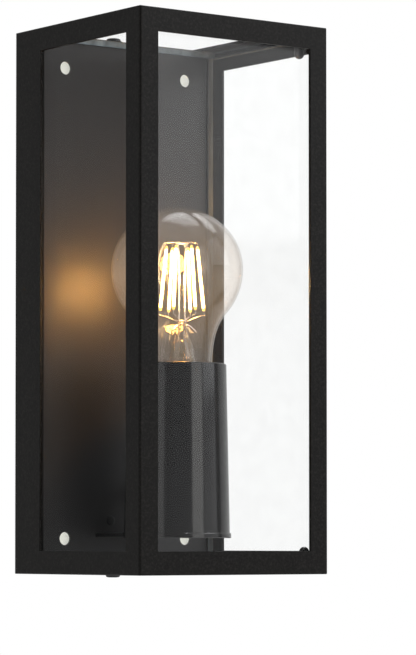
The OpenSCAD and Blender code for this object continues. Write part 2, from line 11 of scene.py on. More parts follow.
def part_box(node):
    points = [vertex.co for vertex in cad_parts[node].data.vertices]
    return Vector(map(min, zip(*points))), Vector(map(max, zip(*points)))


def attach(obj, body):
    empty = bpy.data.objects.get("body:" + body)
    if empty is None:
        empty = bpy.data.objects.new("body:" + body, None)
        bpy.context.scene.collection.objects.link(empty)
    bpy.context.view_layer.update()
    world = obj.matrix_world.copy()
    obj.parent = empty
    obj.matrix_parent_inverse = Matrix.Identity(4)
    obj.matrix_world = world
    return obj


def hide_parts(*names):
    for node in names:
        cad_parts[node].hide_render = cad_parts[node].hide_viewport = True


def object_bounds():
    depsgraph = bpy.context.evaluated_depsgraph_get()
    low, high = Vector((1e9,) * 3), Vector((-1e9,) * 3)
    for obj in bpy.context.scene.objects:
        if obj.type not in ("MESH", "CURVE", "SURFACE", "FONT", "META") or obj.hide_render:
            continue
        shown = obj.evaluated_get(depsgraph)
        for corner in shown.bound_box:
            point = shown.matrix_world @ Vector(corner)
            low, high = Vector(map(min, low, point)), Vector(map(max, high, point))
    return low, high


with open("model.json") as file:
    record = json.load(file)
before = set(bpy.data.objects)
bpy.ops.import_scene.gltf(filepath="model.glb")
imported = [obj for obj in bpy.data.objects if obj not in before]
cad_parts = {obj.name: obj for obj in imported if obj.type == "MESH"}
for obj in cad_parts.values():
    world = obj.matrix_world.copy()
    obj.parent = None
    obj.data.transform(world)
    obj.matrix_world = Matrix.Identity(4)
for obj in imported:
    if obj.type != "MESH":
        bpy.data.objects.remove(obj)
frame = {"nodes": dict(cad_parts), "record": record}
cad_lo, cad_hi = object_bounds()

MM = 0.001
TAU = 2 * math.pi


# ---------- sizes, taken from the frame ----------

def lo(node):
    """Lowest corner of a CAD node."""
    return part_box(node)[0]


def hi(node):
    """Highest corner of a CAD node."""
    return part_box(node)[1]


def middle(node):
    """Centre of a CAD node's box."""
    return (lo(node) + hi(node)) / 2


def joint(name):
    """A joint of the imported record."""
    return next(j for j in frame["record"]["behaviour"]["joints"] if j["name"] == name)


SHEET = hi("post_rear_right").x - lo("post_rear_right").x
CAGE_X = hi("post_front_right").x
CAGE_Z = hi("post_front_right").z
FRONT_Y = lo("post_front_right").y
REAR_Y = hi("post_rear_right").y
OPEN_X = hi("rail_top_front").x
OPEN_Z = lo("rail_top_front").z
LAMP = Vector((*joint("bulb_turn")["pos_m"][:2], 0))
SCREW = Vector((*joint("top_screw_turn")["pos_m"][:2], 0))


# ---------- materials ----------

class Nodes:
    """A short way to write a material's node tree."""

    def __init__(self, name):
        self.material = bpy.data.materials.new(name)
        self.material.use_nodes = True
        self.tree = self.material.node_tree
        self.tree.nodes.clear()
        self.out = self.add("ShaderNodeOutputMaterial")
        self.place = self.add("ShaderNodeTexCoord").outputs["Object"]

    def add(self, kind, **values):
        node = self.tree.nodes.new(kind)
        for key, value in values.items():
            setattr(node, key, value)
        return node

    def link(self, a, b):
        self.tree.links.new(a, b)

    def noise(self, scale, detail=2.0, rough=0.5, stretch=None):
        """Noise over the piece, with its grain stretched along an axis if asked."""
        node = self.add("ShaderNodeTexNoise")
        node.inputs["Scale"].default_value = scale
        node.inputs["Detail"].default_value = detail
        node.inputs["Roughness"].default_value = rough
        place = self.place
        if stretch:
            mapping = self.add("ShaderNodeMapping")
            mapping.inputs["Scale"].default_value = stretch
            self.link(place, mapping.inputs["Vector"])
            place = mapping.outputs["Vector"]
        self.link(place, node.inputs["Vector"])
        return node.outputs["Fac"]

    def ramp(self, source, stops):
        """Colours or greys against a source between 0 and 1."""
        node = self.add("ShaderNodeValToRGB")
        bar = node.color_ramp
        bar.elements[0].position, bar.elements[0].color = stops[0][0], colour(stops[0][1])
        bar.elements[1].position, bar.elements[1].color = stops[-1][0], colour(stops[-1][1])
        for at, value in stops[1:-1]:
            bar.elements.new(at).color = colour(value)
        self.link(source, node.inputs["Fac"])
        return node.outputs["Color"]

    def map_range(self, source, span, low, high):
        """A source that runs over span, brought between low and high."""
        node = self.add("ShaderNodeMapRange")
        for key, value in zip(("From Min", "From Max", "To Min", "To Max"), (*span, low, high)):
            node.inputs[key].default_value = value
        self.link(source, node.inputs["Value"])
        return node.outputs["Result"]

    def spread(self, noise, low, high):
        """Noise, which stays near the middle of 0 to 1, brought between low and high."""
        return self.map_range(noise, (0.3, 0.7), low, high)

    def bump(self, source, depth, strength=1.0, under=None):
        """A normal from a height, depth metres high."""
        node = self.add("ShaderNodeBump")
        node.inputs["Distance"].default_value = depth
        node.inputs["Strength"].default_value = strength
        self.link(source, node.inputs["Height"])
        if under:
            self.link(under, node.inputs["Normal"])
        return node.outputs["Normal"]

    def principled(self, **values):
        node = self.add("ShaderNodeBsdfPrincipled")
        for key, value in values.items():
            node.inputs[key.replace("_", " ")].default_value = value
        return node

    def mix(self, share, first, second):
        """A share of the second shader laid over the first; the share is a number or a socket."""
        node = self.add("ShaderNodeMixShader")
        if isinstance(share, float):
            node.inputs[0].default_value = share
        else:
            self.link(share, node.inputs[0])
        self.link(first.outputs[0], node.inputs[1])
        self.link(second.outputs[0], node.inputs[2])
        return node

    def finish(self, shader):
        """The material, with this shader on its surface."""
        self.link(shader.outputs[0], self.out.inputs["Surface"])
        return self.material


def colour(value):
    """An RGBA from a grey or an RGB."""
    if isinstance(value, (int, float)):
        value = (value, value, value)
    return (*value, 1.0)


def scaled(rgb, k):
    """A colour made k times as bright, up to white."""
    return tuple(min(1.0, c * k) for c in rgb)


def surface(name, rgb, rough, metal=0.0, grain=600.0, depth=0.02, tint=0.15, uneven=0.06,
            stretch=None, detail=2.0):
    """A solid material: its colour, roughness and fine relief all vary with its grain."""
    n = Nodes(name)
    fine = n.noise(grain, detail, stretch=stretch)
    broad = n.noise(grain / 12, 3.0)
    shader = n.principled(Metallic=metal)
    both = n.add("ShaderNodeMix", data_type="FLOAT")
    both.inputs[0].default_value = 0.4
    n.link(fine, both.inputs[2])
    n.link(broad, both.inputs[3])
    stops = [(0.32, scaled(rgb, 1 - tint)), (0.68, scaled(rgb, 1 + tint))]
    n.link(n.ramp(both.outputs[0], stops), shader.inputs["Base Color"])
    n.link(n.spread(broad, rough - uneven, rough + uneven), shader.inputs["Roughness"])
    n.link(n.bump(fine, depth * MM), shader.inputs["Normal"])
    return n.finish(shader)


def powder_coat(name, rgb, rough, relief, speck, gloss):
    """Fine-textured powder coat: low pimples that catch the light, and a soft mottle."""
    n = Nodes(name)
    pimples = n.noise(1500.0, 3.0, 0.6)
    orange_peel = n.noise(330.0, 2.0)
    mottle = n.noise(900.0, 4.0, 0.7)
    shader = n.principled(Specular_IOR_Level=gloss)
    stops = [(0.36, scaled(rgb, 1 - speck)), (0.52, rgb), (0.66, scaled(rgb, 1 + 2.2 * speck))]
    n.link(n.ramp(mottle, stops), shader.inputs["Base Color"])
    n.link(n.spread(orange_peel, rough - 0.015, rough + 0.02), shader.inputs["Roughness"])
    under = n.bump(orange_peel, 0.03 * MM, relief)
    n.link(n.bump(pimples, 0.05 * MM, relief, under), shader.inputs["Normal"])
    return n.finish(shader)


# Painted glow on the lamp's glass, brightest at the filaments' height: it stands in for their light.
PAINTED_GLOW_SPAN = (-36 * MM, 46 * MM)
PAINTED_GLOW_STOPS = [(0.0, (0.34, 0.30, 0.25)), (0.32, (0.70, 0.52, 0.34)), (0.58, (1.0, 0.82, 0.62)),
              (0.8, (0.70, 0.58, 0.45)), (1.0, (0.10, 0.09, 0.08))]
PAINTED_GLOW_STRENGTH = 1.7


def clear_glass(name, tint, ahead, edge_on, wave, smear, haze_and_painted_glow=0.0, depth=0.02):
    """Thin clear glass: it lets light straight through, and mirrors a share of it that rises from
    ahead to edge_on as the glass is seen flatter. haze_and_painted_glow is the share given to a
    little real haze and mostly a painted glow, an emission coloured by height that stands in for
    the filaments' light scattered in the glass."""
    n = Nodes(name)
    film = n.noise(140.0, 4.0, 0.6)
    relief = n.bump(n.noise(wave, 1.0), depth * MM, 0.6)
    through = n.add("ShaderNodeBsdfTransparent")
    n.link(n.ramp(film, [(0.3, scaled(tint, 0.985)), (0.7, tint)]), through.inputs["Color"])
    gloss = n.add("ShaderNodeBsdfGlossy")
    gloss.inputs["Color"].default_value = colour(1.0)
    n.link(n.spread(film, smear, smear * 2.5), gloss.inputs["Roughness"])
    n.link(relief, gloss.inputs["Normal"])
    weight = n.add("ShaderNodeLayerWeight")
    weight.inputs["Blend"].default_value = 0.5
    n.link(relief, weight.inputs["Normal"])
    slope = n.add("ShaderNodeMath", operation="POWER")
    slope.inputs[1].default_value = 5.0
    n.link(weight.outputs["Facing"], slope.inputs[0])
    share = n.add("ShaderNodeMath", operation="MULTIPLY_ADD", use_clamp=True)
    share.inputs[1].default_value = edge_on - ahead
    share.inputs[2].default_value = ahead
    n.link(slope.outputs[0], share.inputs[0])
    shader = n.mix(share.outputs[0], through, gloss)
    if haze_and_painted_glow:
        scatter = n.add("ShaderNodeBsdfTranslucent")
        scatter.inputs["Color"].default_value = colour((0.95, 0.92, 0.86))
        # painted glow: an emission coloured by height, standing in for the filaments' light in the
        # glass
        painted_glow = n.add("ShaderNodeEmission")
        painted_glow.inputs["Strength"].default_value = PAINTED_GLOW_STRENGTH
        height = n.add("ShaderNodeSeparateXYZ")
        n.link(n.place, height.inputs[0])
        level = n.map_range(height.outputs["Z"], PAINTED_GLOW_SPAN, 0.0, 1.0)
        n.link(n.ramp(level, PAINTED_GLOW_STOPS), painted_glow.inputs["Color"])
        haze_and_glow = n.mix(0.9, scatter, painted_glow)
        shader = n.mix(n.spread(film, haze_and_painted_glow * 0.85, haze_and_painted_glow * 1.15), shader, haze_and_glow)
    return n.finish(shader)


def glass_edge(name, rgb, solid):
    """The polished rim of a pane, which gathers light from inside the pane."""
    n = Nodes(name)
    streak = n.noise(260.0, 3.0, stretch=(1, 1, 0.15))
    through = n.add("ShaderNodeBsdfTransparent")
    through.inputs["Color"].default_value = colour(scaled(rgb, 1.2))
    rim = n.principled(Roughness=0.15)
    stops = [(0.3, scaled(rgb, 0.75)), (0.7, scaled(rgb, 1.1))]
    n.link(n.ramp(streak, stops), rim.inputs["Base Color"])
    return n.finish(n.mix(n.spread(streak, solid - 0.1, solid + 0.1), through, rim))


def glow(name, rgb, strength, spare=0.0):
    """A lit phosphor, a little uneven along its length; spare is the share that lets light by."""
    n = Nodes(name)
    beads = n.noise(900.0, 2.0)
    shader = n.principled(Emission_Strength=strength)
    shader.inputs["Base Color"].default_value = colour((0.9, 0.6, 0.2))
    n.link(n.ramp(beads, [(0.3, scaled(rgb, 0.92)), (0.7, rgb)]), shader.inputs["Emission Color"])
    n.link(n.spread(beads, 0.5, 0.7), shader.inputs["Roughness"])
    if spare:
        shader = n.mix(1 - spare, n.add("ShaderNodeBsdfTransparent"), shader)
    return n.finish(shader)


def plastic_with_painted_glow(name, rgb, painted_glow_strength):
    """Natural nylon: a translucent share lets light through it, and painted_glow_strength is the
    strength of a painted glow, an emission that stands in for the light from behind.
    """
    n = Nodes(name)
    tone = n.ramp(n.noise(300.0, 3.0), [(0.3, scaled(rgb, 0.93)), (0.7, rgb)])
    # Painted glow: the nylon emits its own colour, standing in for light from behind the wall holes.
    shader = n.principled(Roughness=0.4, Emission_Strength=painted_glow_strength)
    n.link(tone, shader.inputs["Base Color"])
    n.link(tone, shader.inputs["Emission Color"])
    through = n.add("ShaderNodeBsdfTranslucent")
    n.link(tone, through.inputs["Color"])
    return n.finish(n.mix(0.3, shader, through))


CAGE_PAINT = powder_coat("cage_paint", (0.0085, 0.0078, 0.0070), 0.38, 0.9, 0.5, 0.14)
TRAY_PAINT = powder_coat("tray_paint", (0.021, 0.0205, 0.0210), 0.42, 0.05, 0.08, 0.35)
BRACKET_PAINT = powder_coat("bracket_paint", (0.014, 0.014, 0.0145), 0.42, 0.2, 0.1, 0.3)
SCREW_PAINT = surface("screw_paint", (0.012, 0.012, 0.012), 0.35, 0.3, grain=1800, depth=0.01)
PANE = clear_glass("pane_glass", (0.998, 1.0, 0.999), 0.006, 0.06, 6.0, smear=0.03, depth=0.004)
FRONT_PANE = clear_glass("front_pane_glass", (0.998, 1.0, 0.999), 0.020, 0.06, 6.0, smear=0.03,
                         depth=0.004)
PANE_EDGE = glass_edge("pane_edge", (0.28, 0.33, 0.35), 0.62)
# The bulb and stem glass carry a small share of painted glow from the filaments' light.
BULB_GLASS = clear_glass("bulb_glass", (0.985, 0.984, 0.982), 0.022, 0.75, 90.0, smear=0.012,
                         haze_and_painted_glow=0.03)
STEM_GLASS = clear_glass("stem_glass", (0.96, 0.94, 0.90), 0.08, 0.9, 420.0, smear=0.02,
                         haze_and_painted_glow=0.03, depth=0.15)
FILAMENT = glow("filament_core", (1.0, 0.72, 0.36), 60.0)
FILAMENT_COAT = glow("filament_coat", (1.0, 0.84, 0.24), 1.25, spare=0.55)
FILAMENT_END = glow("filament_end", (1.0, 0.68, 0.12), 1.1)
GLOSS_BLACK = surface("gloss_black", (0.0085, 0.0085, 0.0085), 0.13, grain=380, depth=0.004,
                      tint=0.12, uneven=0.02)
BLACK_PLASTIC = surface("black_plastic", (0.014, 0.014, 0.014), 0.38, grain=1300, depth=0.012)
HOLDER_PLASTIC = surface("holder_plastic", (0.02, 0.019, 0.018), 0.5, grain=1500, depth=0.02)
# The spacer nylon carries a painted glow that lights the wall holes.
NYLON_WITH_PAINTED_GLOW = plastic_with_painted_glow("nylon_with_painted_glow", (0.80, 0.80, 0.765), 0.42)
BLOCK_PLASTIC = surface("block_plastic", (0.78, 0.78, 0.74), 0.42, grain=700, depth=0.01,
                        tint=0.04)
RUBBER = surface("black_rubber", (0.012, 0.012, 0.012), 0.62, grain=2200, depth=0.02)
FOAM = surface("gasket_foam", (0.012, 0.012, 0.012), 0.9, grain=2600, depth=0.12, detail=4.0)
ZINC = surface("zinc_steel", (0.60, 0.61, 0.63), 0.30, 1.0, grain=1300, depth=0.01, tint=0.12)
BRASS = surface("brass", (0.74, 0.54, 0.25), 0.28, 1.0, grain=1200, depth=0.01, tint=0.12)
NICKEL = surface("nickel", (0.66, 0.64, 0.60), 0.24, 1.0, grain=900, depth=0.008, tint=0.08)
SUPPORT_WIRE = surface("support_wire", (0.86, 0.86, 0.84), 0.25, 1.0, grain=2500, depth=0.005)
VITRITE = surface("vitrite", (0.008, 0.008, 0.009), 0.16, grain=500, depth=0.01, uneven=0.03)
LIVE = surface("live_wire", (0.22, 0.09, 0.035), 0.42, grain=1500, depth=0.01)
NEUTRAL = surface("neutral_wire", (0.03, 0.10, 0.42), 0.42, grain=1500, depth=0.01)
EARTH = surface("earth_wire", (0.28, 0.46, 0.04), 0.42, grain=1500, depth=0.01)
SLEEVING = surface("sleeving", (0.74, 0.73, 0.68), 0.75, grain=2600, depth=0.06, detail=4.0,
                   stretch=(1, 0.4, 1))
CIRCUIT = surface("circuit_board", (0.02, 0.15, 0.05), 0.35, grain=900, depth=0.01)


# ---------- mesh building ----------

def ring_faces(bm, rings, mat, closed_loop):
    """Quads between rings of vertices; a ring of one vertex is a point on the axis."""
    count = len(rings) if closed_loop else len(rings) - 1
    for i in range(count):
        a, b = rings[i], rings[(i + 1) % len(rings)]
        n = max(len(a), len(b))
        if n == 1:
            continue
        for j in range(n):
            k = (j + 1) % n
            corners = [a[j % len(a)], a[k % len(a)], b[k % len(b)], b[j % len(b)]]
            unique = list(dict.fromkeys(corners))
            bm.faces.new(unique).material_index = mat


def add_rings(bm, rings, mat=0, closed_loop=True):
    """Skins rings of points, each a list of vectors."""
    ring_faces(bm, [[bm.verts.new(p) for p in ring] for ring in rings], mat, closed_loop)


def ring(centre, r, z, n):
    """n points round a vertical axis, or one point where the radius is nought."""
    if r < 1e-7:
        return [Vector((centre.x, centre.y, z))]
    return [
        Vector((centre.x + r * math.cos(TAU * j / n), centre.y + r * math.sin(TAU * j / n), z))
        for j in range(n)
    ]


ORIGIN = Vector((0, 0, 0))


def add_revolved(bm, profile, centre=ORIGIN, n=96, mat=0, matrix=None):
    """A turned solid from (radius, height) points; off the axis, the profile is a closed loop."""
    on_axis = profile[0][0] < 1e-7
    rings = [ring(centre, r, z, n) for r, z in profile]
    if matrix:
        rings = [[matrix @ p for p in points] for points in rings]
    add_rings(bm, rings, mat, closed_loop=not on_axis)


def add_box(bm, a, b, edge=0.3 * MM, segments=2, mat=0):
    """A block between two corners with rounded edges."""
    a, b = Vector(a), Vector(b)
    made = bmesh.ops.create_cube(bm, size=1.0)["verts"]
    size, centre = b - a, (a + b) / 2
    for v in made:
        v.co = Vector((v.co.x * size.x, v.co.y * size.y, v.co.z * size.z)) + centre
    faces = {f for v in made for f in v.link_faces}
    for f in faces:
        f.material_index = mat
    if edge:
        edges = list(dict.fromkeys(e for v in made for e in v.link_edges))
        result = bmesh.ops.bevel(bm, geom=edges, offset=edge, segments=segments, profile=0.5,
                                 affect="EDGES", clamp_overlap=True)
        for f in result["faces"]:
            f.material_index = mat


def smooth_line(points, k=6):
    """A rounded line that follows control points, as a cubic B-spline."""
    p = [Vector(q) for q in points]
    p = [p[0], *p, p[-1]]
    line = [p[0]]
    for i in range(len(p) - 3):
        a, b, c, d = p[i:i + 4]
        for s in range(k):
            t = s / k
            line.append(((1 - t) ** 3 * a + (3 * t ** 3 - 6 * t * t + 4) * b
                         + (1 + 3 * t + 3 * t * t - 3 * t ** 3) * c + t ** 3 * d) / 6)
    line.append(p[-1])
    return line


def add_tube(bm, line, r, sides=10, mat=0, round_ends=False, closed_loop=False):
    """A round tube along a line of points."""
    line = [Vector(p) for p in line]
    if round_ends:
        first = (line[0] - line[1]).normalized()
        last = (line[-1] - line[-2]).normalized()
        steps = [(0.0, 1.0), (0.5, 0.87), (0.85, 0.5), (0.98, 0.12)]
        heads = [(line[0] + first * r * a, r * b) for a, b in steps[::-1]]
        tails = [(line[-1] + last * r * a, r * b) for a, b in steps]
        path = heads + [(p, r) for p in line[1:-1]] + tails
    else:
        path = [(p, r) for p in line]
    rings, side = [], None
    for i, (p, radius) in enumerate(path):
        if closed_loop:
            ahead, behind = path[(i + 1) % len(path)][0], path[i - 1][0]
        else:
            ahead, behind = path[min(i + 1, len(path) - 1)][0], path[max(i - 1, 0)][0]
        along = (ahead - behind).normalized()
        if side is None:
            side = along.orthogonal().normalized()
        side = (side - along * side.dot(along)).normalized()
        across = along.cross(side)
        rings.append([p + radius * (side * math.cos(TAU * j / sides)
                                    + across * math.sin(TAU * j / sides)) for j in range(sides)])
    verts = [[bm.verts.new(p) for p in points] for points in rings]
    ring_faces(bm, verts, mat, closed_loop)
    if not closed_loop:
        bm.faces.new(verts[0][::-1]).material_index = mat
        bm.faces.new(verts[-1]).material_index = mat


def add_cells(bm, xs, ys, zs, solid):
    """The skin of a body made of rectangular cells; solid says which cells are filled."""
    grid = {}

    def corner(i, j, k):
        if (i, j, k) not in grid:
            grid[i, j, k] = bm.verts.new((xs[i], ys[j], zs[k]))
        return grid[i, j, k]

    def filled(i, j, k):
        if not (0 <= i < len(xs) - 1 and 0 <= j < len(ys) - 1 and 0 <= k < len(zs) - 1):
            return False
        return solid((xs[i] + xs[i + 1]) / 2, (ys[j] + ys[j + 1]) / 2, (zs[k] + zs[k + 1]) / 2)

    sides = {
        (1, 0, 0): ((1, 0, 0), (1, 1, 0), (1, 1, 1), (1, 0, 1)),
        (-1, 0, 0): ((0, 0, 0), (0, 0, 1), (0, 1, 1), (0, 1, 0)),
        (0, 1, 0): ((0, 1, 0), (0, 1, 1), (1, 1, 1), (1, 1, 0)),
        (0, -1, 0): ((0, 0, 0), (1, 0, 0), (1, 0, 1), (0, 0, 1)),
        (0, 0, 1): ((0, 0, 1), (1, 0, 1), (1, 1, 1), (0, 1, 1)),
        (0, 0, -1): ((0, 0, 0), (0, 1, 0), (1, 1, 0), (1, 0, 0)),
    }
    for i in range(len(xs) - 1):
        for j in range(len(ys) - 1):
            for k in range(len(zs) - 1):
                if not filled(i, j, k):
                    continue
                for (a, b, c), quad in sides.items():
                    if not filled(i + a, j + b, k + c):
                        bm.faces.new([corner(i + p, j + q, k + r) for p, q, r in quad])


def piece(name, bm, materials, body, nodes, crease=35.0):
    """Makes the object, with smooth shading that breaks at sharp edges, and ties it to the frame."""
    bmesh.ops.recalc_face_normals(bm, faces=bm.faces)
    for f in bm.faces:
        f.smooth = True
    mesh = bpy.data.meshes.new(name)
    bm.to_mesh(mesh)
    bm.free()
    for m in materials:
        mesh.materials.append(m)
    mesh.set_sharp_from_angle(angle=math.radians(crease))
    obj = bpy.data.objects.new(name, mesh)
    bpy.context.scene.collection.objects.link(obj)
    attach(obj, body)
    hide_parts(*nodes)
    return obj


def turned(name, profile, material, body, node, centre=ORIGIN, n=96, matrix=None,
           crease=35.0):
    """A piece that is one turned solid and stands for one CAD node."""
    bm = bmesh.new()
    add_revolved(bm, profile, centre, n, matrix=matrix)
    return piece(name, bm, [material], body, [node], crease)


def tube_profile(inner, outer, low, high, down, inward=None):
    """A thick tube's outline, its outer edges taken off by down along it and inward across it."""
    slim = outer - (down if inward is None else inward)
    return [(inner, low), (slim, low), (outer, low + down), (outer, high - down), (slim, high),
            (inner, high)]


def settle(obj):
    """Applies an object's modifiers."""
    bpy.context.view_layer.update()
    shown = obj.evaluated_get(bpy.context.evaluated_depsgraph_get())
    mesh = bpy.data.meshes.new_from_object(shown)
    obj.modifiers.clear()
    obj.data = mesh


def round_edges(obj, radius_of, widest, segments=4, sharp=20.0):
    """Rounds each edge by its own radius, which radius_of gives from its two ends."""
    bm = bmesh.new()
    bm.from_mesh(obj.data)
    layer = bm.edges.layers.float.new("bevel_weight_edge")
    for e in bm.edges:
        if len(e.link_faces) == 2 and e.calc_face_angle(0.0) > math.radians(sharp):
            e[layer] = min(1.0, radius_of(*(v.co for v in e.verts)) / widest)
    bm.to_mesh(obj.data)
    bm.free()
    bevel = obj.modifiers.new("round", "BEVEL")
    bevel.limit_method = "WEIGHT"
    bevel.width = widest
    bevel.segments = segments
    bevel.harden_normals = False
    settle(obj)
    obj.data.set_sharp_from_angle(angle=math.radians(40))


def cut(obj, cutters):
    """Cuts solids, each a function that fills a bmesh, out of an object."""
    bm = bmesh.new()
    for fill in cutters:
        fill(bm)
    bmesh.ops.recalc_face_normals(bm, faces=bm.faces)
    mesh = bpy.data.meshes.new("cutter")
    bm.to_mesh(mesh)
    bm.free()
    tool = bpy.data.objects.new("cutter", mesh)
    bpy.context.scene.collection.objects.link(tool)
    boolean = obj.modifiers.new("cut", "BOOLEAN")
    boolean.operation = "DIFFERENCE"
    boolean.solver = "EXACT"
    boolean.object = tool
    settle(obj)
    bpy.data.objects.remove(tool)
    bpy.data.meshes.remove(mesh)
    obj.data.set_sharp_from_angle(angle=math.radians(35))


def weighted(obj):
    """Keeps big flat faces flat beside their rounded edges."""
    normals = obj.modifiers.new("flat", "WEIGHTED_NORMAL")
    normals.keep_sharp = True
    normals.weight = 100


TO_WALL = Matrix.Rotation(math.radians(-90), 4, "X")


def facing_wall(x, z):
    """Turns a solid's axis along Y, through this place on the tray."""
    return Matrix.Translation((x, 0, z)) @ TO_WALL


def near(a, b):
    """Whether two coordinates are the same."""
    return abs(a - b) < 0.05 * MM


# ---------- cage ----------

def make_cage():
    """One folded and welded sheet: front, two sides, top and bottom, each with its opening."""
    inner_x, inner_y, inner_z = CAGE_X - SHEET, FRONT_Y + SHEET, CAGE_Z - SHEET
    side_front, side_rear = hi("post_front_right").y, lo("post_rear_right").y
    lid_front, lid_rear = hi("rail_top_front").y, lo("rail_top_rear").y
    slot_x = 2.3 * MM
    slot_y = SCREW.y - slot_x

    def solid(x, y, z):
        x, z = abs(x), abs(z)
        if y < inner_y:
            return x > OPEN_X or z > OPEN_Z
        if x > inner_x:
            return z > OPEN_Z or not side_front < y < side_rear
        if z > inner_z:
            if x < slot_x and y > slot_y:
                return False
            return x > OPEN_X or not lid_front < y < lid_rear
        return False

    def both(values):
        return sorted([-v for v in values] + list(values))

    bm = bmesh.new()
    add_cells(bm, both([slot_x, OPEN_X, inner_x, CAGE_X]),
              sorted([FRONT_Y, inner_y, side_front, lid_front, side_rear, lid_rear, slot_y, REAR_Y]),
              both([OPEN_Z, inner_z, CAGE_Z]), solid)
    nodes = [n for n in frame["nodes"] if n.startswith(("post_", "rail_"))]
    cage = piece("cage", bm, [CAGE_PAINT], "cage", nodes)

    def radius(a, b):
        along_z = near(a.x, b.x) and near(a.y, b.y)
        if along_z and near(abs(a.x), CAGE_X) and near(a.y, FRONT_Y):
            return 1.25 * MM
        if along_z and near(abs(a.x), slot_x) and near(a.y, slot_y):
            return 2.2 * MM
        outer = [near(abs(a.x), CAGE_X) and near(abs(b.x), CAGE_X),
                 near(a.y, FRONT_Y) and near(b.y, FRONT_Y),
                 near(abs(a.z), CAGE_Z) and near(abs(b.z), CAGE_Z)]
        return 0.7 * MM if sum(outer) == 2 else 0.22 * MM

    round_edges(cage, radius, 2.2 * MM)
    weighted(cage)


def make_pane(node):
    """A float-glass pane with ground arrises; its rim is a material of its own."""
    a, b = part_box(node)
    thin = min(range(3), key=lambda i: b[i] - a[i])
    bm = bmesh.new()
    add_box(bm, a, b, edge=0.35 * MM, segments=1)
    bm.normal_update()
    for f in bm.faces:
        f.material_index = 0 if abs(f.normal[thin]) > 0.9 else 1
    glass = FRONT_PANE if node == "glass_front" else PANE
    piece("pane_" + node.split("_")[1], bm, [glass, PANE_EDGE], "cage", [node],
          crease=20)


def make_lugs():
    """Moulded lugs with round noses that press the panes into the corners."""
    a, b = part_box("glass_lugs")
    r = 2.4 * MM
    x = b.x - r
    top_nose, bottom_nose = 116 * MM, -117 * MM
    bm = bmesh.new()
    for sx in (-1, 1):
        for y, base, nose in ((b.y - r, b.z, top_nose), (a.y + r, a.z, bottom_nose)):
            way = math.copysign(1, nose - base)
            dome = [(r * math.cos(t), nose - way * r + way * r * math.sin(t))
                    for t in (math.radians(9 * i) for i in range(10))]
            dome.append((0.0, nose))
            profile = [(0.0, base), (r * 0.9, base), (r, base + way * 0.4 * MM), *dome]
            add_revolved(bm, profile, Vector((sx * x, y, 0)), 32)
    piece("pane_lugs", bm, [BLACK_PLASTIC], "cage", ["glass_lugs"])


# ---------- wall tray ----------

WALL_BOLTS = next(m for m in frame["record"]["mounts"] if m["name"] == "wall_bolts")["dims"]
HOLE_R = WALL_BOLTS["hole_r_mm"] * MM
HOLES = [(sx * WALL_BOLTS["spacing_x_mm"] / 2 * MM, sz * WALL_BOLTS["spacing_y_mm"] / 2 * MM)
         for sx in (-1, 1) for sz in (-1, 1)]


def bore(x, z, r, y0, y1, n=48):
    """A round cutter along Y."""
    def fill(bm):
        add_revolved(bm, [(0, y0), (r, y0), (r, y1), (0, y1)], n=n, matrix=facing_wall(x, z))
    return fill


def well(x, y, r, z0, z1, n=48):
    """A round cutter along Z."""
    def fill(bm):
        add_revolved(bm, [(0, z0), (r, z0), (r, z1), (0, z1)], Vector((x, y, 0)), n)
    return fill


def make_tray():
    """Pressed pan with rounded bends, flanges that reach behind the cage, and drilled holes."""
    a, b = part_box("wall_tray")
    t = 1.2 * MM
    face_x = 49.1 * MM

    def solid(x, y, z):
        x, z = abs(x), abs(z)
        if x > face_x:
            return y > b.y - t
        return y < a.y + t or x > face_x - t or z > b.z - t

    bm = bmesh.new()
    xs = sorted([-b.x, -face_x, t - face_x, face_x - t, face_x, b.x])
    add_cells(bm, xs, [a.y, a.y + t, b.y - t, b.y], [a.z, a.z + t, b.z - t, b.z], solid)
    tray = piece("tray_pan", bm, [TRAY_PAINT], "tray", ["wall_tray"])

    def radius(p, q):
        if near(p.y, a.y) and near(q.y, a.y):
            return 3.5 * MM
        if near(p.y, a.y + t) and near(q.y, a.y + t):
            return 2.3 * MM
        return 0.25 * MM

    round_edges(tray, radius, 3.5 * MM, segments=6)
    grommet = middle("wire_grommet")
    cutters = [bore(x, z, HOLE_R, a.y - t, a.y + 3 * t) for x, z in HOLES]
    cutters.append(bore(grommet.x, grommet.z, 4 * MM, a.y - t, a.y + 3 * t))
    cutters.append(well(SCREW.x, SCREW.y, 3 * MM, b.z - 2 * t, b.z + t))
    cutters.append(well(SCREW.x, SCREW.y, 3 * MM, a.z - t, a.z + 2 * t))
    cut(tray, cutters)


def make_gasket():
    """Closed-cell foam frame."""
    a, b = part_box("wall_gasket")
    open_x, open_z = 45 * MM, 120 * MM
    bm = bmesh.new()
    add_cells(bm, [a.x, -open_x, open_x, b.x], [a.y, b.y], [a.z, -open_z, open_z, b.z],
              lambda x, y, z: abs(x) > open_x or abs(z) > open_z)
    gasket = piece("foam_gasket", bm, [FOAM], "tray", ["wall_gasket"])
    round_edges(gasket, lambda p, q: 0.45 * MM, 0.45 * MM, segments=3)


def make_spacers():
    """Crush tubes of natural nylon behind the wall holes."""
    a, b = lo("wall_spacers").y, hi("wall_spacers").y
    profile = tube_profile(HOLE_R, 5 * MM, a, b, 0.4 * MM)
    bm = bmesh.new()
    for x, z in HOLES:
        add_revolved(bm, profile, n=48, matrix=facing_wall(x, z))
    # The spacer material carries a painted glow, standing in for light from behind the holes.
    piece("spacer_tubes", bm, [NYLON_WITH_PAINTED_GLOW], "tray", ["wall_spacers"])


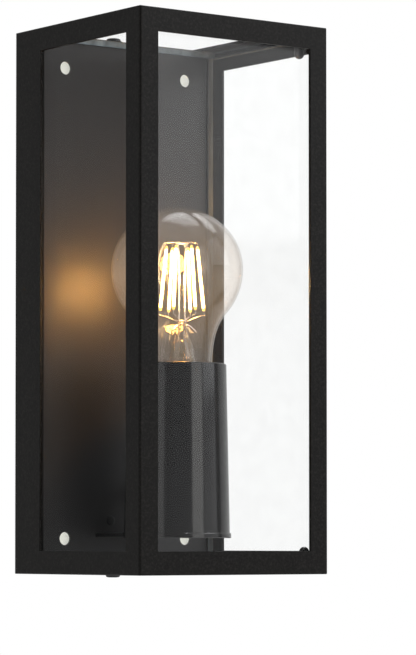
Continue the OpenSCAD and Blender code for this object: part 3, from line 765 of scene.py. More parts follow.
def make_rivet_nuts():
    """Flanged bushes with a rolled barrel and a threaded bore."""
    top = hi("rivet_nuts").z
    length = 9 * MM
    bore_r = 2.05 * MM
    bm = bmesh.new()
    for sz in (-1, 1):
        thread = [(bore_r + (0.12 * MM if i % 2 else 0), top - length + i * 0.35 * MM)
                  for i in range(int(length / (0.35 * MM)))]
        profile = [(4 * MM, top - 1 * MM), (4 * MM, top - 0.5 * MM), (3.6 * MM, top),
                   (bore_r + 0.3 * MM, top), *thread[::-1],
                   (bore_r + 0.2 * MM, top - length), (2.9 * MM, top - length),
                   (3 * MM, top - length + 0.3 * MM), (3 * MM, top - 1 * MM)]
        add_revolved(bm, [(r, sz * z) for r, z in profile], SCREW, 40)
    piece("rivet_bushes", bm, [ZINC], "tray", ["rivet_nuts"])


def make_cage_screw(end, way):
    """Thin-headed screw with a rolled thread and a cross recess."""
    node = end + "_screw"
    a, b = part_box(node)
    top = b.z if way > 0 else -a.z
    foot = a.z if way > 0 else -b.z
    head_r, head_h = 3.5 * MM, 1.2 * MM
    under = top - head_h
    crest, root, pitch = 1.98 * MM, 1.62 * MM, 0.7 * MM
    turns = int((under - foot - 1.0 * MM) / pitch)
    steps = 24
    bm = bmesh.new()
    rows = turns * 8
    start = foot + 0.6 * MM
    helix = []
    for i in range(rows + 1):
        z = start + turns * pitch * i / rows
        points = []
        for j in range(steps):
            angle = TAU * j / steps
            wave = 0.5 + 0.5 * math.cos(angle - TAU * z / pitch)
            r = root + (crest - root) * wave ** 0.8
            points.append(Vector((SCREW.x + r * math.cos(angle), SCREW.y + r * math.sin(angle), z)))
        helix.append(points)
    dome = [(head_r, under), (head_r, under + 0.45 * MM), (head_r - 0.15 * MM, under + 0.75 * MM),
            (head_r - 0.7 * MM, top - 0.12 * MM), (head_r - 1.5 * MM, top), (0, top)]
    rings = [ring(SCREW, 0, foot, steps), ring(SCREW, 1.3 * MM, foot, steps),
             *helix, ring(SCREW, crest, under - 0.3 * MM, steps),
             *(ring(SCREW, r, z, steps) for r, z in dome)]
    add_rings(bm, rings, closed_loop=False)
    if way < 0:
        bmesh.ops.transform(bm, matrix=Matrix.Diagonal((1, 1, -1, 1)), verts=bm.verts)
    screw = piece(end + "_cage_screw", bm, [SCREW_PAINT], node, [node])

    def recess(tool):
        arm, width, depth = 1.9 * MM, 0.45 * MM, 0.8 * MM
        steps_out = (-arm, -width, width, arm)
        add_cells(tool, [SCREW.x + v for v in steps_out], [SCREW.y + v for v in steps_out],
                  sorted((way * (top - depth), way * (top + depth))),
                  lambda x, y, z: min(abs(x - SCREW.x), abs(y - SCREW.y)) < width)

    cut(screw, [recess])


def make_cage_washer(end):
    """Flat washer under a cage screw's head."""
    node = end + "_washer"
    profile = tube_profile(2.06 * MM, 4 * MM, lo(node).z, hi(node).z, 0.12 * MM)
    turned(end + "_cage_washer", profile, SCREW_PAINT, node, node, SCREW, 48)


# ---------- connections behind the tray's face ----------

WIRE_Y = -9.5 * MM
POLES = (-10 * MM, 0, 10 * MM)


def make_terminal_block():
    """Three-pole block: its housing, the brass inserts and their slotted screws."""
    a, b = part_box("terminal_block")
    bm = bmesh.new()
    add_box(bm, a, b, 0.6 * MM, 3)
    block = piece("block_housing", bm, [BLOCK_PLASTIC], "tray", ["terminal_block"])
    cutters = []
    screws = (-57 * MM, -49 * MM)
    for x in POLES:
        cutters.append(well(x, WIRE_Y, 3 * MM, a.z - MM, b.z + MM))
        cutters += [bore(x, z, 2 * MM, WIRE_Y, b.y + MM, 32) for z in screws]
    for x in (-5 * MM, 5 * MM):
        cutters.append(lambda tool, x=x: add_box(
            tool, (x - 0.6 * MM, b.y - 5 * MM, a.z - MM), (x + 0.6 * MM, b.y + MM, b.z + MM), 0))
    cut(block, cutters)

    bm = bmesh.new()
    profile = tube_profile(1.6 * MM, 2.97 * MM, lo("terminal_inserts").z,
                           hi("terminal_inserts").z, 0.3 * MM, 0.17 * MM)
    for x in POLES:
        add_revolved(bm, profile, Vector((x, WIRE_Y, 0)), 40)
    inserts = piece("block_inserts", bm, [BRASS], "tray", ["terminal_inserts"])
    cut(inserts, [bore(x, z, 1.52 * MM, WIRE_Y, b.y, 32) for x in POLES for z in screws])

    screw_a, screw_b = lo("terminal_screws").y, hi("terminal_screws").y
    bm = bmesh.new()
    profile = [(0, screw_a), (1.2 * MM, screw_a), (1.48 * MM, screw_a + 0.3 * MM),
               (1.48 * MM, screw_b - 0.2 * MM), (1.3 * MM, screw_b), (0, screw_b)]
    for x in POLES:
        for z in screws:
            add_revolved(bm, profile, n=32, matrix=facing_wall(x, z))
    heads = piece("block_screws", bm, [ZINC], "tray", ["terminal_screws"])
    slits = [lambda tool, x=x, z=z: add_box(
        tool, (x - 2 * MM, screw_b - 0.7 * MM, z - 0.3 * MM),
        (x + 2 * MM, screw_b + MM, z + 0.3 * MM), 0)
        for x in POLES for z in screws]
    cut(heads, slits)


def make_earth():
    """Weld stud, ring lug and hexagon nut."""
    stud_a, stud_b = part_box("earth_stud")
    spot = middle("earth_stud")
    at = facing_wall(spot.x, spot.z)
    thread = []
    y = stud_a.y + 0.8 * MM
    while y < stud_b.y - 0.6 * MM:
        thread += [(1.98 * MM, y), (1.72 * MM, y + 0.35 * MM)]
        y += 0.7 * MM
    profile = [(0, stud_a.y), (3 * MM, stud_a.y), (3 * MM, stud_a.y + 0.5 * MM), *thread,
               (1.6 * MM, stud_b.y), (0, stud_b.y)]
    turned("weld_stud", profile, ZINC, "tray", "earth_stud", n=32, matrix=at,
           crease=25)

    lug_a = lo("earth_lug")
    bm = bmesh.new()
    add_revolved(bm, [(2.05 * MM, lug_a.y), (3.8 * MM, lug_a.y), (4 * MM, lug_a.y + 0.2 * MM),
                      (4 * MM, lug_a.y + 0.8 * MM), (2.05 * MM, lug_a.y + 0.8 * MM)],
                 n=40, matrix=at)
    add_box(bm, (spot.x - 8 * MM, lug_a.y, spot.z - 1.5 * MM),
            (spot.x - 3.4 * MM, lug_a.y + 0.8 * MM, spot.z + 1.5 * MM), 0.2 * MM)
    along_x = Matrix.Translation((0, lug_a.y + 1.8 * MM, spot.z)) @ Matrix.Rotation(
        math.radians(90), 4, "Y")
    add_revolved(bm, [(1.15 * MM, lug_a.x), (1.7 * MM, lug_a.x), (1.8 * MM, lug_a.x + 0.2 * MM),
                      (1.8 * MM, lug_a.x + 5 * MM), (1.15 * MM, lug_a.x + 5 * MM)],
                 n=32, matrix=along_x)
    piece("ring_lug", bm, [ZINC], "tray", ["earth_lug"])

    across = 3.9 * MM
    profile = tube_profile(2.02 * MM, across, lo("earth_nut").y, hi("earth_nut").y, 0.4 * MM,
                           0.14 * across)
    turned("hex_nut", profile, BRASS, "tray", "earth_nut", n=6, matrix=at, crease=20)


def make_wires():
    """The inner wires along the CAD's route, with the grommet and the heat-proof sleeving."""
    wire_z, cross = -90 * MM, middle("wire_grommet").x
    pair = 1.25 * MM
    for name, node, block_x, cross_x, holder_x, mat in (
            ("wire_brown", "live_wire", -10 * MM, cross - pair, -10 * MM, LIVE),
            ("wire_blue", "neutral_wire", 0.0, cross + pair, 10 * MM, NEUTRAL)):
        route = [(block_x, WIRE_Y, -56 * MM), (block_x, WIRE_Y, -60 * MM),
                 (block_x, WIRE_Y, -66 * MM), ((block_x + cross_x) / 2, WIRE_Y, -75 * MM),
                 (cross_x, WIRE_Y, -83 * MM), (cross_x, WIRE_Y, wire_z)]
        route += [(cross_x, y * MM, wire_z) for y in (-16, -22, -28, -34, -40)]
        route += [((cross_x + holder_x) / 2, -48 * MM, wire_z),
                  (holder_x, LAMP.y + 3 * MM, wire_z)]
        route += [(holder_x, LAMP.y, z * MM) for z in (-87, -83, -79, -74)]
        bm = bmesh.new()
        add_tube(bm, smooth_line(route), 1.0 * MM, 16)
        piece(name, bm, [mat], "tray", [node])
    lug_y = lo("earth_lug").y + 1.8 * MM
    earth_z = middle("earth_stud").z
    block_x = 10 * MM
    route = [(block_x, WIRE_Y, -56 * MM), (block_x, WIRE_Y, -60 * MM), (block_x, WIRE_Y, -65 * MM),
             (block_x, -11 * MM, -72 * MM)]
    route += [(x * MM, lug_y, earth_z) for x in (11, 13, 15, 19)]
    bm = bmesh.new()
    add_tube(bm, smooth_line(route), 1.0 * MM, 16)
    piece("wire_earth", bm, [EARTH], "tray", ["earth_wire"])

    a, b = lo("wire_grommet").y, hi("wire_grommet").y
    lip, r, core, hole = 1.2 * MM, 5.2 * MM, 4 * MM, 3 * MM
    soft = 0.35 * MM
    profile = [(hole, a + soft), (hole + soft, a), (r - soft, a), (r, a + soft), (r, a + lip),
               (core, a + lip), (core, b - lip), (r, b - lip), (r, b - soft), (r - soft, b),
               (hole + soft, b), (hole, b - soft)]
    at = facing_wall(cross, wire_z)
    turned("grommet", profile, RUBBER, "tray", "wire_grommet", n=40, matrix=at)

    a, b = lo("wire_sleeve").y, hi("wire_sleeve").y
    outer, inner = 3 * MM, 2.5 * MM
    ribs = 24
    outside = [(outer - (0.12 * MM if i % 2 else 0), a + (b - a) * i / ribs)
               for i in range(ribs + 1)]
    turned("heat_sleeving", [*outside, (inner, b), (inner, a)], SLEEVING, "tray", "wire_sleeve",
           n=32, matrix=at, crease=60)


# ---------- lampholder ----------

def make_bracket():
    """Bent bracket: a round shelf on a tongue, and a leg spot-welded to the tray; then the
    threaded nipple and the nut that hold the lampholder on it."""
    a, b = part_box("holder_bracket")
    half_w, shelf_t, leg_t = 18 * MM, 2 * MM, 1.5 * MM
    disc_r = b.x
    top = a.z + shelf_t
    start = math.asin(half_w / disc_r)
    arc = 56
    outline = []
    for i in range(arc + 1):
        angle = math.pi / 2 + start + (TAU - 2 * start) * i / arc
        outline.append((LAMP.x + disc_r * math.cos(angle), LAMP.y + disc_r * math.sin(angle)))
    outline += [(half_w, b.y), (-half_w, b.y)]
    bm = bmesh.new()
    low = [bm.verts.new((x, y, a.z)) for x, y in outline]
    high = [bm.verts.new((x, y, top)) for x, y in outline]
    ring_faces(bm, [low, high], 0, False)
    bm.faces.new(low[::-1])
    bm.faces.new(high)
    add_box(bm, (-half_w, b.y - leg_t, top - 0.05 * MM), (half_w, b.y, b.z), 0.3 * MM)
    for x in (-10 * MM, 10 * MM):
        spot = facing_wall(x, (top + b.z) / 2)
        face = b.y - leg_t
        add_revolved(bm, [(0, face - 0.25 * MM), (1.6 * MM, face - 0.25 * MM),
                          (2.4 * MM, face), (2.4 * MM, face + 0.3 * MM), (0, face + 0.3 * MM)],
                     n=28, matrix=spot)
    bracket = piece("shelf_bracket", bm, [BRACKET_PAINT], "tray", ["holder_bracket"])
    round_edges(bracket, lambda p, q: 0.25 * MM, 0.25 * MM, segments=2, sharp=50)
    cut(bracket, [well(LAMP.x, LAMP.y, 5.05 * MM, a.z - MM, top + MM)])

    a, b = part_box("holder_nipple")
    pitch, r = 1.0 * MM, 5.03 * MM
    rows = int((b.z - a.z) / pitch * 2)
    outside = [(r - (0.45 * MM if i % 2 else 0), a.z + (b.z - a.z) * i / rows)
               for i in range(rows + 1)]
    turned("threaded_nipple", [*outside, (3.6 * MM, b.z), (3.6 * MM, a.z)], ZINC, "tray",
           "holder_nipple", LAMP, 48, crease=25)

    a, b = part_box("nipple_nut")
    across = b.x - LAMP.x
    profile = tube_profile(5.06 * MM, across, a.z, b.z, 0.5 * MM, 0.12 * across)
    turned("lock_nut", profile, ZINC, "tray", "nipple_nut", LAMP, 6, crease=20)


def make_sleeve():
    """Tapered sleeve, moulded in gloss black, with a lip at its foot and a soft rim."""
    a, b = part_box("holder_sleeve")
    wall, lip, lip_h = 2 * MM, 0.6 * MM, 2.4 * MM
    r_base, r_top = 25.2 * MM, 23.5 * MM
    ledge_r, ledge_top = 17 * MM, lo("lampholder_base").z

    def outer(z):
        return r_base + (r_top - r_base) * (z - a.z) / (b.z - a.z)

    rim = 0.7 * MM
    rim_arc = [(r_top - rim + rim * math.cos(t), b.z - rim + rim * math.sin(t))
               for t in (math.radians(15 * i) for i in range(7))]
    profile = [
        (r_base - wall, a.z), (r_base + lip - 0.3 * MM, a.z), (r_base + lip, a.z + 0.3 * MM),
        (r_base + lip, a.z + lip_h - 0.3 * MM), (r_base + lip - 0.3 * MM, a.z + lip_h),
        (outer(a.z + lip_h) + 0.12 * MM, a.z + lip_h), (outer(a.z + lip_h), a.z + lip_h + 0.15 * MM),
        (outer(0.5 * (a.z + b.z)), 0.5 * (a.z + b.z)), *rim_arc,
        (r_top - wall + 0.2 * MM, b.z), (r_top - wall, b.z - 0.2 * MM),
        (outer(ledge_top) - wall, ledge_top), (ledge_r, ledge_top),
        (ledge_r, ledge_top - 2 * MM), (outer(ledge_top - 2 * MM) - wall, ledge_top - 2 * MM),
    ]
    sleeve = turned("lamp_sleeve", profile, GLOSS_BLACK, "tray", "holder_sleeve",
                    LAMP, 160)
    bracket_a, bracket_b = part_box("holder_bracket")
    half = 18.3 * MM
    grommet = middle("wire_grommet")

    def slot(tool):
        add_box(tool, (-half, LAMP.y, a.z - MM), (half, bracket_b.y, bracket_a.z + 2.3 * MM), 0)

    cut(sleeve, [slot, bore(grommet.x, grommet.z, 3.1 * MM, LAMP.y + 10 * MM, bracket_b.y)])


def make_lampholder():
    """Moulded body with its base."""
    a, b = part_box("lampholder_body")
    r, socket_r, socket_floor = 19 * MM, 14.2 * MM, -66 * MM
    cavity_r, cavity_top, guide_r = 16 * MM, -68 * MM, 1.68 * MM
    soft = 0.6 * MM
    profile = [(guide_r, socket_floor), (socket_r, socket_floor), (socket_r, b.z - 0.3 * MM),
               (socket_r + 0.3 * MM, b.z), (r - soft, b.z), (r - 0.2 * MM, b.z - 0.2 * MM),
               (r, b.z - soft), (r, a.z), (cavity_r, a.z), (cavity_r, cavity_top),
               (guide_r, cavity_top)]
    body = turned("holder_body", profile, HOLDER_PLASTIC, "tray", "lampholder_body",
                  LAMP)

    def strip_slot(tool):
        add_box(tool, (12.6 * MM, LAMP.y - 2.6 * MM, cavity_top - MM),
                (14 * MM, LAMP.y + 2.6 * MM, socket_floor + MM), 0)

    cut(body, [strip_slot])

    a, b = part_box("lampholder_base")
    profile = [(5.06 * MM, a.z), (r - soft, a.z), (r, a.z + soft), (r, b.z), (5.06 * MM, b.z)]
    base = turned("holder_base", profile, HOLDER_PLASTIC, "tray", "lampholder_base",
                  LAMP)
    cut(base, [well(x, LAMP.y, 1.5 * MM, a.z - MM, b.z + MM, 24) for x in (-10 * MM, 10 * MM)])


E27_PITCH = 3.629 * MM
CAP_R = 12.65 * MM
THREAD = 0.5 * MM


def thread_rings(mean, amount, z0, z1, n):
    """Rings along a right-hand rounded thread, of n points each."""
    rings = []
    rows = 110
    for i in range(rows + 1):
        z = z0 + (z1 - z0) * i / rows
        rings.append([
            Vector((LAMP.x + radius * math.cos(angle), LAMP.y + radius * math.sin(angle), z))
            for angle in (TAU * j / n for j in range(n))
            for radius in (mean(z) + THREAD * amount(z) * math.cos(angle - TAU * z / E27_PITCH),)
        ])
    return rings


def make_screw_shell():
    """The shell that the lamp screws into."""
    a, b = lo("screw_shell").z, hi("screw_shell").z
    mean, outer, n = CAP_R + 0.4 * MM, 14.15 * MM, 72
    inside = thread_rings(lambda z: mean, lambda z: 1.0, a, b, n=n)
    outside = [ring(LAMP, outer, a, n), ring(LAMP, outer, b, n)]
    bm = bmesh.new()
    add_rings(bm, outside + inside[::-1])
    piece("threaded_shell", bm, [BRASS], "tray", ["screw_shell"])


def make_contacts():
    """Terminals, contact strips, the sprung pin and its coil."""
    a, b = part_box("holder_terminals")
    bm = bmesh.new()
    for sx in (-1, 1):
        x0, x1 = sorted((sx * 6.5 * MM, sx * b.x))
        add_box(bm, (x0, a.y, a.z), (x1, b.y, b.z), 0.4 * MM, 2)
    blocks = piece("wire_terminals", bm, [BRASS], "tray", ["holder_terminals"])
    cut(blocks, [well(x, LAMP.y, 1.5 * MM, a.z - MM, a.z + 4.5 * MM, 24)
                 for x in (-10 * MM, 10 * MM)])

    a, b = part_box("contact_strips")
    bm = bmesh.new()
    add_box(bm, (12.7 * MM, a.y, -70 * MM), (b.x, b.y, b.z), 0.2 * MM)
    add_box(bm, (a.x, a.y, a.z), (3 * MM, b.y, a.z + 0.7 * MM), 0.2 * MM)
    piece("current_strips", bm, [BRASS], "tray", ["contact_strips"])

    a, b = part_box("contact_pin")
    head_r, pin_r = 3.6 * MM, 1.6 * MM
    profile = [(0, a.z), (pin_r - 0.3 * MM, a.z), (pin_r, a.z + 0.3 * MM),
               (pin_r, b.z - 1.5 * MM), (head_r - 0.2 * MM, b.z - 1.5 * MM),
               (head_r, b.z - 1.3 * MM), (head_r, b.z - 0.7 * MM),
               (head_r - 0.8 * MM, b.z - 0.1 * MM), (0, b.z)]
    turned("centre_pin", profile, BRASS, "contact", "contact_pin", LAMP, 48)

    a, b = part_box("contact_spring")
    coil_r, wire, turns, steps = 2.6 * MM, 0.3 * MM, 3, 28
    low, high = a.z + wire, b.z - wire
    line = [Vector((LAMP.x + coil_r * math.cos(TAU * i / steps),
                    LAMP.y + coil_r * math.sin(TAU * i / steps),
                    low + (high - low) * i / (turns * steps))) for i in range(turns * steps + 1)]
    bm = bmesh.new()
    add_tube(bm, line, wire, 10)
    piece("pin_spring", bm, [ZINC], "tray", ["contact_spring"])


# ---------- lamp ----------

def make_neck_seal():
    """Silicone ring with two soft ribs on its top."""
    a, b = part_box("neck_seal")
    outer, inner = b.x - LAMP.x, 15.6 * MM
    top = b.z
    profile = [(inner, a.z + 0.3 * MM), (inner + 0.3 * MM, a.z), (outer - 0.3 * MM, a.z),
               (outer, a.z + 0.3 * MM), (outer, top - 0.8 * MM), (outer - 0.4 * MM, top - 0.4 * MM)]
    ribs = 2
    span = outer - inner - 0.8 * MM
    for i in range(ribs * 8 + 1):
        x = i / (ribs * 8)
        profile.append((outer - 0.4 * MM - span * x,
                        top - 0.4 * MM + 0.4 * MM * math.sin(math.pi * ribs * x) ** 2))
    profile.append((inner, top - 0.6 * MM))
    turned("silicone_ring", profile, RUBBER, "neck_ring", "neck_seal", LAMP,
           crease=50)


BULB_MID = 14.9 * MM
NECK_R = 12.25 * MM
NECK_FOOT = -35 * MM
THROAT = (16.6 * MM, -29 * MM)


def bezier(p, k):
    """Points of a cubic Bezier curve, without its last."""
    points = []
    for i in range(k):
        t, s = i / k, 1 - i / k
        points.append(tuple(s ** 3 * p[0][c] + 3 * s * s * t * p[1][c] + 3 * s * t * t * p[2][c]
                            + t ** 3 * p[3][c] for c in (0, 1)))
    return points


def bulb_outline(inset):
    """The globe from its top down to the foot of its neck, moved in by inset."""
    a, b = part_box("bulb_glass")
    r, dome = (b.x - a.x) / 2 - inset, b.z - BULB_MID - inset
    turn = math.radians(40)
    join = (r * math.cos(turn), BULB_MID - r * math.sin(turn))
    throat = (THROAT[0] - inset, THROAT[1])
    foot = (NECK_R - inset, NECK_FOOT)
    steps = 26
    line = [(r * math.cos(t), BULB_MID + dome * math.sin(t))
            for t in (math.pi / 2 * (1 - i / steps) for i in range(steps))]
    line[0] = (0.0, line[0][1])
    line += [(r * math.cos(turn * i / 10), BULB_MID - r * math.sin(turn * i / 10))
             for i in range(10)]
    line += bezier([join, (join[0] - 6.1 * MM, join[1] - 7.2 * MM),
                    (throat[0] + 0.7 * MM, throat[1] + 9 * MM), throat], 18)
    line += bezier([throat, (throat[0] - 0.4 * MM, throat[1] - 3.2 * MM),
                    (foot[0] + 0.1 * MM, foot[1] + 3.6 * MM), foot], 12)
    return [*line, foot, (NECK_R - inset, a.z)]


def make_bulb_glass():
    """The globe, with a skin outside and one inside."""
    thickness = 0.9 * MM
    profile = bulb_outline(0.0) + bulb_outline(thickness)[::-1]
    turned("globe", profile, BULB_GLASS, "bulb", "bulb_glass", LAMP, 128, crease=70)


def make_cap():
    """E27 cap with its thread and skirt, the black glass, the centre contact and the driver."""
    a, b = lo("bulb_cap").z, hi("bulb_cap").z
    thread_top, skirt_r = -39 * MM, 12.9 * MM

    def mean(z):
        if z < a + MM:
            return CAP_R - 1.2 * (a + MM - z)
        if z > thread_top:
            return min(skirt_r, CAP_R + (z - thread_top) * 0.4)
        return CAP_R

    def amount(z):
        return min(1.0, max(0.0, (z - a) / (1.2 * MM)),
                   max(0.0, (thread_top + 0.6 * MM - z) / (1.2 * MM)))

    n = 72
    inner = NECK_R + 0.2 * MM
    inside = [ring(LAMP, inner, b, n), ring(LAMP, inner, thread_top + 1.5 * MM, n),
              ring(LAMP, 11.6 * MM, thread_top, n), ring(LAMP, 10.9 * MM, a, n)]
    bm = bmesh.new()
    add_rings(bm, thread_rings(mean, amount, a, b, n=n) + inside)
    piece("screw_cap", bm, [NICKEL], "bulb", ["bulb_cap"])

    a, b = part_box("cap_insulator")
    edge = b.x - LAMP.x
    profile = [(0, a.z), (4.8 * MM, a.z), (5.4 * MM, a.z + 0.25 * MM), (6 * MM, a.z + 0.8 * MM),
               (8.4 * MM, a.z + 2.0 * MM), (edge, b.z - 1.4 * MM), (edge, b.z), (0, b.z)]
    turned("black_glass_insulator", profile, VITRITE, "bulb", "cap_insulator",
           LAMP, 72, crease=50)

    a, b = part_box("cap_contact")
    edge = b.x - LAMP.x
    dome = [(edge * math.sin(t), b.z - (b.z - a.z) * math.cos(t) ** 0.6)
            for t in (math.pi / 2 * i / 12 for i in range(1, 13))]
    turned("tip_contact", [(0, a.z), *dome, (0, b.z)], NICKEL, "bulb", "cap_contact",
           LAMP, 48, crease=50)

    a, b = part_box("driver_board")
    bm = bmesh.new()
    board_t = 0.8 * MM
    add_box(bm, (a.x, LAMP.y - board_t, a.z), (b.x, LAMP.y + board_t, b.z), 0.1 * MM)
    can = facing_wall(-2 * MM, -47 * MM)
    y0 = LAMP.y + board_t
    add_revolved(bm, [(0, y0), (3.0 * MM, y0), (3.2 * MM, y0 + 0.2 * MM), (3.2 * MM, b.y - 0.3 * MM),
                      (2.9 * MM, b.y), (0, b.y)], n=32, mat=1, matrix=can)
    add_box(bm, (3 * MM, y0, -51 * MM), (7 * MM, LAMP.y + 3.5 * MM, -45 * MM), 0.2 * MM, 2, 2)
    for i in range(4):
        z = (-42.5 + 0.8 * i) * MM
        add_box(bm, (-6 * MM, y0, z), (-4.4 * MM, y0 + 0.5 * MM, z + 0.5 * MM), 0.08 * MM, 1, 2)
    piece("driver", bm, [CIRCUIT, ZINC, BLACK_PLASTIC], "bulb", ["driver_board"])


STEM = middle("lamp_stem")
FILAMENTS = 6
FIRST = math.radians(31)
TOP_R, FOOT_R = 7.4 * MM, 10.5 * MM
TOP_Z, FOOT_Z = 25.8 * MM, -4.7 * MM


def on_stem(r, angle, z):
    return Vector((STEM.x + r * math.cos(angle), STEM.y + r * math.sin(angle), z))


def make_stem():
    """Flared glass stem: a tube pinched flat at its top, with the exhaust tube inside it."""
    top = hi("lamp_stem").z
    n = 64
    # height, radius, and how flat the pinch is there
    outside = [(top, 0.0, 1.0), (top - 0.15 * MM, 1.6 * MM, 0.75), (top - 0.7 * MM, 3.0 * MM, 0.66),
               (top - 2.2 * MM, 4.4 * MM, 0.58), (top - 5 * MM, 4.9 * MM, 0.56),
               (top - 8 * MM, 5.0 * MM, 0.72), (top - 11 * MM, 5.15 * MM, 0.95),
               (top - 14 * MM, 5.3 * MM, 1.0), (-27.5 * MM, 6.0 * MM, 1.0),
               (-29.4 * MM, 7.0 * MM, 1.0), (-30.6 * MM, 8.4 * MM, 1.0)]
    inside = [(-31.3 * MM, 8.2 * MM, 1.0), (-30.0 * MM, 6.4 * MM, 1.0), (-28 * MM, 5.3 * MM, 1.0),
              (top - 14 * MM, 4.5 * MM, 1.0), (top - 10.5 * MM, 4.0 * MM, 0.9),
              (top - 8.5 * MM, 2.0 * MM, 0.6), (top - 8 * MM, 0.0, 1.0)]
    pinch = math.radians(53)
    bm = bmesh.new()
    rings = []
    for z, r, flat in outside + inside:
        points = []
        for j in range(n if r else 1):
            angle = TAU * j / n
            along, across = r * math.cos(angle), r * flat * math.sin(angle)
            points.append(Vector((STEM.x + along * math.cos(pinch) - across * math.sin(pinch),
                                  STEM.y + along * math.sin(pinch) + across * math.cos(pinch), z)))
        rings.append(points)
    add_rings(bm, rings, closed_loop=False)
    tube_r, tube_in = 1.9 * MM, 1.3 * MM
    add_revolved(bm, [(tube_r, top - 10.6 * MM), (tube_r, -31 * MM), (tube_in, -31 * MM),
                      (tube_in, top - 10.6 * MM)], Vector((STEM.x, STEM.y, 0)), 32)
    piece("glass_stem", bm, [STEM_GLASS], "bulb", ["lamp_stem"], crease=60)


def make_stem_wires():
    """Support wires, the links between filaments at the top, and the feed wires at the foot."""
    hub_z = hi("stem_wires").z - 0.4 * MM
    stem_top = hi("lamp_stem").z
    bm = bmesh.new()
    mast_r = 1.35 * MM
    for angle in (math.radians(143), math.radians(323)):
        line = [on_stem(mast_r, angle, stem_top - 7 * MM), on_stem(mast_r, angle, 5 * MM),
                on_stem(mast_r, angle, 20 * MM), on_stem(mast_r * 1.3, angle, hub_z - MM),
                on_stem(mast_r * 2.0, angle, hub_z - 0.3 * MM)]
        add_tube(bm, smooth_line(line, 5), 0.42 * MM, 12, round_ends=True)
    for i in range(FILAMENTS):
        angle = FIRST + TAU * i / FILAMENTS
        top = on_stem(TOP_R, angle, TOP_Z)
        rise = on_stem(TOP_R + 0.1 * MM, angle, TOP_Z + 1.7 * MM)
        hub = on_stem(1.6 * MM, angle, hub_z - 0.5 * MM)
        arch = on_stem(4.6 * MM, angle, hub_z + 0.1 * MM)
        add_tube(bm, smooth_line([hub, arch, rise, rise, top], 5), 0.13 * MM, 8)
        foot = on_stem(FOOT_R, angle, FOOT_Z)
        drop = on_stem(FOOT_R + 0.2 * MM, angle, FOOT_Z - 2.2 * MM)
        sag = on_stem(6.5 * MM, angle, FOOT_Z - 3.0 * MM)
        root = on_stem(1.9 * MM, angle, stem_top - 0.2 * MM)
        add_tube(bm, smooth_line([foot, drop, drop, sag, root], 5), 0.13 * MM, 8)
    for r, z in ((2.0 * MM, hub_z - 0.5 * MM), (2.1 * MM, stem_top + 0.3 * MM)):
        loop = [on_stem(r, TAU * k / 32, z) for k in range(32)]
        add_tube(bm, loop, 0.22 * MM, 8, closed_loop=True)
    for angle, reach in ((math.radians(206), 9.0 * MM), (math.radians(350), 7.5 * MM)):
        line = [on_stem(2.6 * MM, angle, stem_top - 1.5 * MM),
                on_stem(reach * 0.55, angle, stem_top - 1.6 * MM),
                on_stem(reach, angle, stem_top - 4.6 * MM)]
        add_tube(bm, smooth_line(line, 5), 0.36 * MM, 10, round_ends=True)
    piece("support_wires", bm, [SUPPORT_WIRE], "bulb", ["stem_wires"], crease=60)


def make_filaments():
    """Each filament: a bright core in a yellow phosphor coat, with a metal tab at each end."""
    bm = bmesh.new()
    for i in range(FILAMENTS):
        angle = FIRST + TAU * i / FILAMENTS
        top, foot = on_stem(TOP_R, angle, TOP_Z), on_stem(FOOT_R, angle, FOOT_Z)
        along = (foot - top).normalized()
        tab = 1.3 * MM
        head, tail = top + along * tab, foot - along * tab
        steps = 14
        core = [head.lerp(tail, k / steps) for k in range(steps + 1)]
        add_tube(bm, core, 0.48 * MM, 14, mat=0, round_ends=True)
        coat = [top.lerp(foot, 0.035), top.lerp(foot, 0.07), *core[1:-1],
                top.lerp(foot, 0.93), top.lerp(foot, 0.965)]
        add_tube(bm, coat, 0.82 * MM, 16, mat=1, round_ends=True)
        for end, way in ((head, -1), (tail, 1)):
            add_tube(bm, [end + along * way * 0.3 * MM, end + along * way * 0.9 * MM],
                     0.7 * MM, 12, mat=2, round_ends=True)
            add_tube(bm, [end + along * way * 0.9 * MM, end + along * way * tab], 0.3 * MM, 8,
                     mat=3)
    piece("filament_set", bm, [FILAMENT, FILAMENT_COAT, FILAMENT_END, SUPPORT_WIRE], "bulb",
          ["filaments"], crease=60)


# ---------- the whole lantern ----------

make_cage()
for pane_node in ("glass_front", "glass_left", "glass_right", "glass_top"):
    make_pane(pane_node)
make_lugs()
make_tray()
make_gasket()
make_spacers()
make_rivet_nuts()
for which, direction in (("top", 1), ("bottom", -1)):
    make_cage_screw(which, direction)
    make_cage_washer(which)
make_terminal_block()
make_earth()
make_wires()
make_bracket()
make_sleeve()
make_lampholder()
make_screw_shell()
make_contacts()
make_neck_seal()
make_bulb_glass()
make_cap()
make_stem()
make_stem_wires()
make_filaments()


# ---------- studio ----------

YAW = math.radians(37.05)
TILT = math.radians(2.0626)
AHEAD = Vector((math.sin(YAW), math.cos(YAW), 0))
RIGHT = Vector((math.cos(YAW), -math.sin(YAW), 0))


def make_camera():
    """A long lens to the front left, raised partly by tilt and partly by lens shift."""
    data = bpy.data.cameras.new("camera")
    data.sensor_width = 36
    data.lens = 174.16
    data.shift_y = 0.1495
    data.clip_start, data.clip_end = 0.05, 50
    camera = bpy.data.objects.new("camera", data)
    camera.location = (-0.8955, -1.2695, -0.1136)
    camera.rotation_euler = (math.radians(90) + TILT, 0, -YAW)
    bpy.context.scene.collection.objects.link(camera)
    bpy.context.scene.camera = camera


def hang_light(data, rgb, location, way=None):
    """Puts a light where the camera doesn't see it, aimed back along way."""
    data.color = rgb
    light = bpy.data.objects.new(data.name, data)
    light.location = location
    if way:
        light.rotation_euler = way.to_track_quat("Z", "Y").to_euler()
    light.visible_camera = False
    bpy.context.scene.collection.objects.link(light)


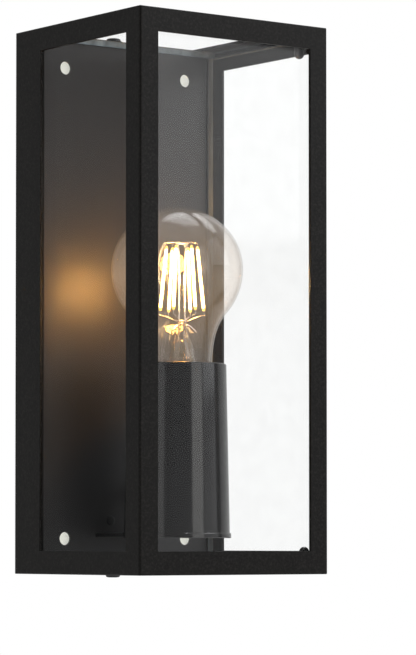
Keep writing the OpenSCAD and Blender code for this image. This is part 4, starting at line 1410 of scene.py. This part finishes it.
def make_panel(name, way, location, width, height, radiance, rgb):
    """A soft rectangular panel."""
    data = bpy.data.lights.new(name, "AREA")
    data.shape = "RECTANGLE"
    data.size, data.size_y = width, height
    data.energy = radiance * math.pi * data.size * data.size_y
    hang_light(data, rgb, location, way)


def softbox(name, azimuths, elevations, radiance, rgb):
    """An upright panel that spans these angles; azimuth runs from the camera to its right."""
    distance = 1.9
    a0, a1 = (math.radians(a) for a in azimuths)
    low, high = (distance * math.tan(math.radians(e)) for e in elevations)
    a = (a0 + a1) / 2
    way = -AHEAD * math.cos(a) + RIGHT * math.sin(a)
    make_panel(name, way, way * distance + Vector((0, 0, (low + high) / 2)),
               2 * distance * math.tan((a1 - a0) / 2), high - low, radiance, rgb)


def make_top_light():
    """A soft panel above and behind the lantern."""
    way = (AHEAD * 0.35 + RIGHT * 0.25 + Vector((0, 0, 1))).normalized()
    distance, side, radiance = 1.7, 1.3, 3.4
    make_panel("top_softbox", way, way * distance, side, side, radiance, (0.96, 0.97, 1.0))


def make_lamp_light():
    """The lamp's own warm light, from the middle of its filaments."""
    data = bpy.data.lights.new("lamp_light", "POINT")
    data.energy = 0.27
    data.shadow_soft_size = 7 * MM
    hang_light(data, (1.0, 0.44, 0.08), on_stem(0, 0, (TOP_Z + FOOT_Z) / 2))


def make_world():
    """White to the eye; to the lantern, a pale backdrop behind it and a dim room in front."""
    dim, pale = 0.10, 0.85
    world = bpy.data.worlds.new("studio")
    world.use_nodes = True
    tree = world.node_tree
    tree.nodes.clear()
    out = tree.nodes.new("ShaderNodeOutputWorld")
    seen = tree.nodes.new("ShaderNodeBackground")
    seen.inputs["Color"].default_value = colour(1.0)
    room = tree.nodes.new("ShaderNodeBackground")
    path = tree.nodes.new("ShaderNodeLightPath")
    mix = tree.nodes.new("ShaderNodeMixShader")
    place = tree.nodes.new("ShaderNodeTexCoord")
    facing = tree.nodes.new("ShaderNodeVectorMath")
    facing.operation = "DOT_PRODUCT"
    facing.inputs[1].default_value = AHEAD
    scale = tree.nodes.new("ShaderNodeMapRange")
    scale.inputs["From Min"].default_value = -0.2
    scale.inputs["From Max"].default_value = 0.75
    scale.inputs["To Min"].default_value = dim
    scale.inputs["To Max"].default_value = pale
    tree.links.new(place.outputs["Generated"], facing.inputs[0])
    tree.links.new(facing.outputs["Value"], scale.inputs["Value"])
    tree.links.new(scale.outputs["Result"], room.inputs["Strength"])
    tree.links.new(path.outputs["Is Camera Ray"], mix.inputs[0])
    tree.links.new(room.outputs[0], mix.inputs[1])
    tree.links.new(seen.outputs[0], mix.inputs[2])
    tree.links.new(mix.outputs[0], out.inputs["Surface"])
    bpy.context.scene.world = world


def make_floor():
    """A round pale floor below the lantern, which hangs clear of it."""
    gap = 0.17
    n = Nodes("studio_floor")
    cloud = n.noise(9.0, 3.0)
    shader = n.principled(Roughness=0.8)
    n.link(n.ramp(cloud, [(0.3, 0.80), (0.7, 0.83)]), shader.inputs["Base Color"])
    n.link(shader.outputs[0], n.out.inputs["Surface"])
    bm = bmesh.new()
    z = cad_lo.z - gap
    rings = [ring(Vector((0, 0, 0)), r, z, 96) for r in (0, 0.8, 1.6, 2.4)]
    add_rings(bm, rings, closed_loop=False)
    mesh = bpy.data.meshes.new("floor")
    bm.to_mesh(mesh)
    bm.free()
    mesh.materials.append(n.material)
    floor = bpy.data.objects.new("floor", mesh)
    bpy.context.scene.collection.objects.link(floor)


make_camera()
make_world()
make_floor()
make_top_light()
make_lamp_light()
softbox("key_softbox", (34.5, 60), (-8, 38), 1.9, (1.0, 0.99, 0.97))
softbox("side_softbox_low", (63, 104), (-8, 4), 0.55, (0.98, 0.98, 1.0))
softbox("side_softbox_high", (63, 104), (6, 44), 1.8, (0.97, 0.98, 1.0))
softbox("left_softbox", (-92, -27), (-8, 38), 0.75, (1.0, 0.99, 0.98))
bpy.context.scene.view_settings.view_transform = "Standard"
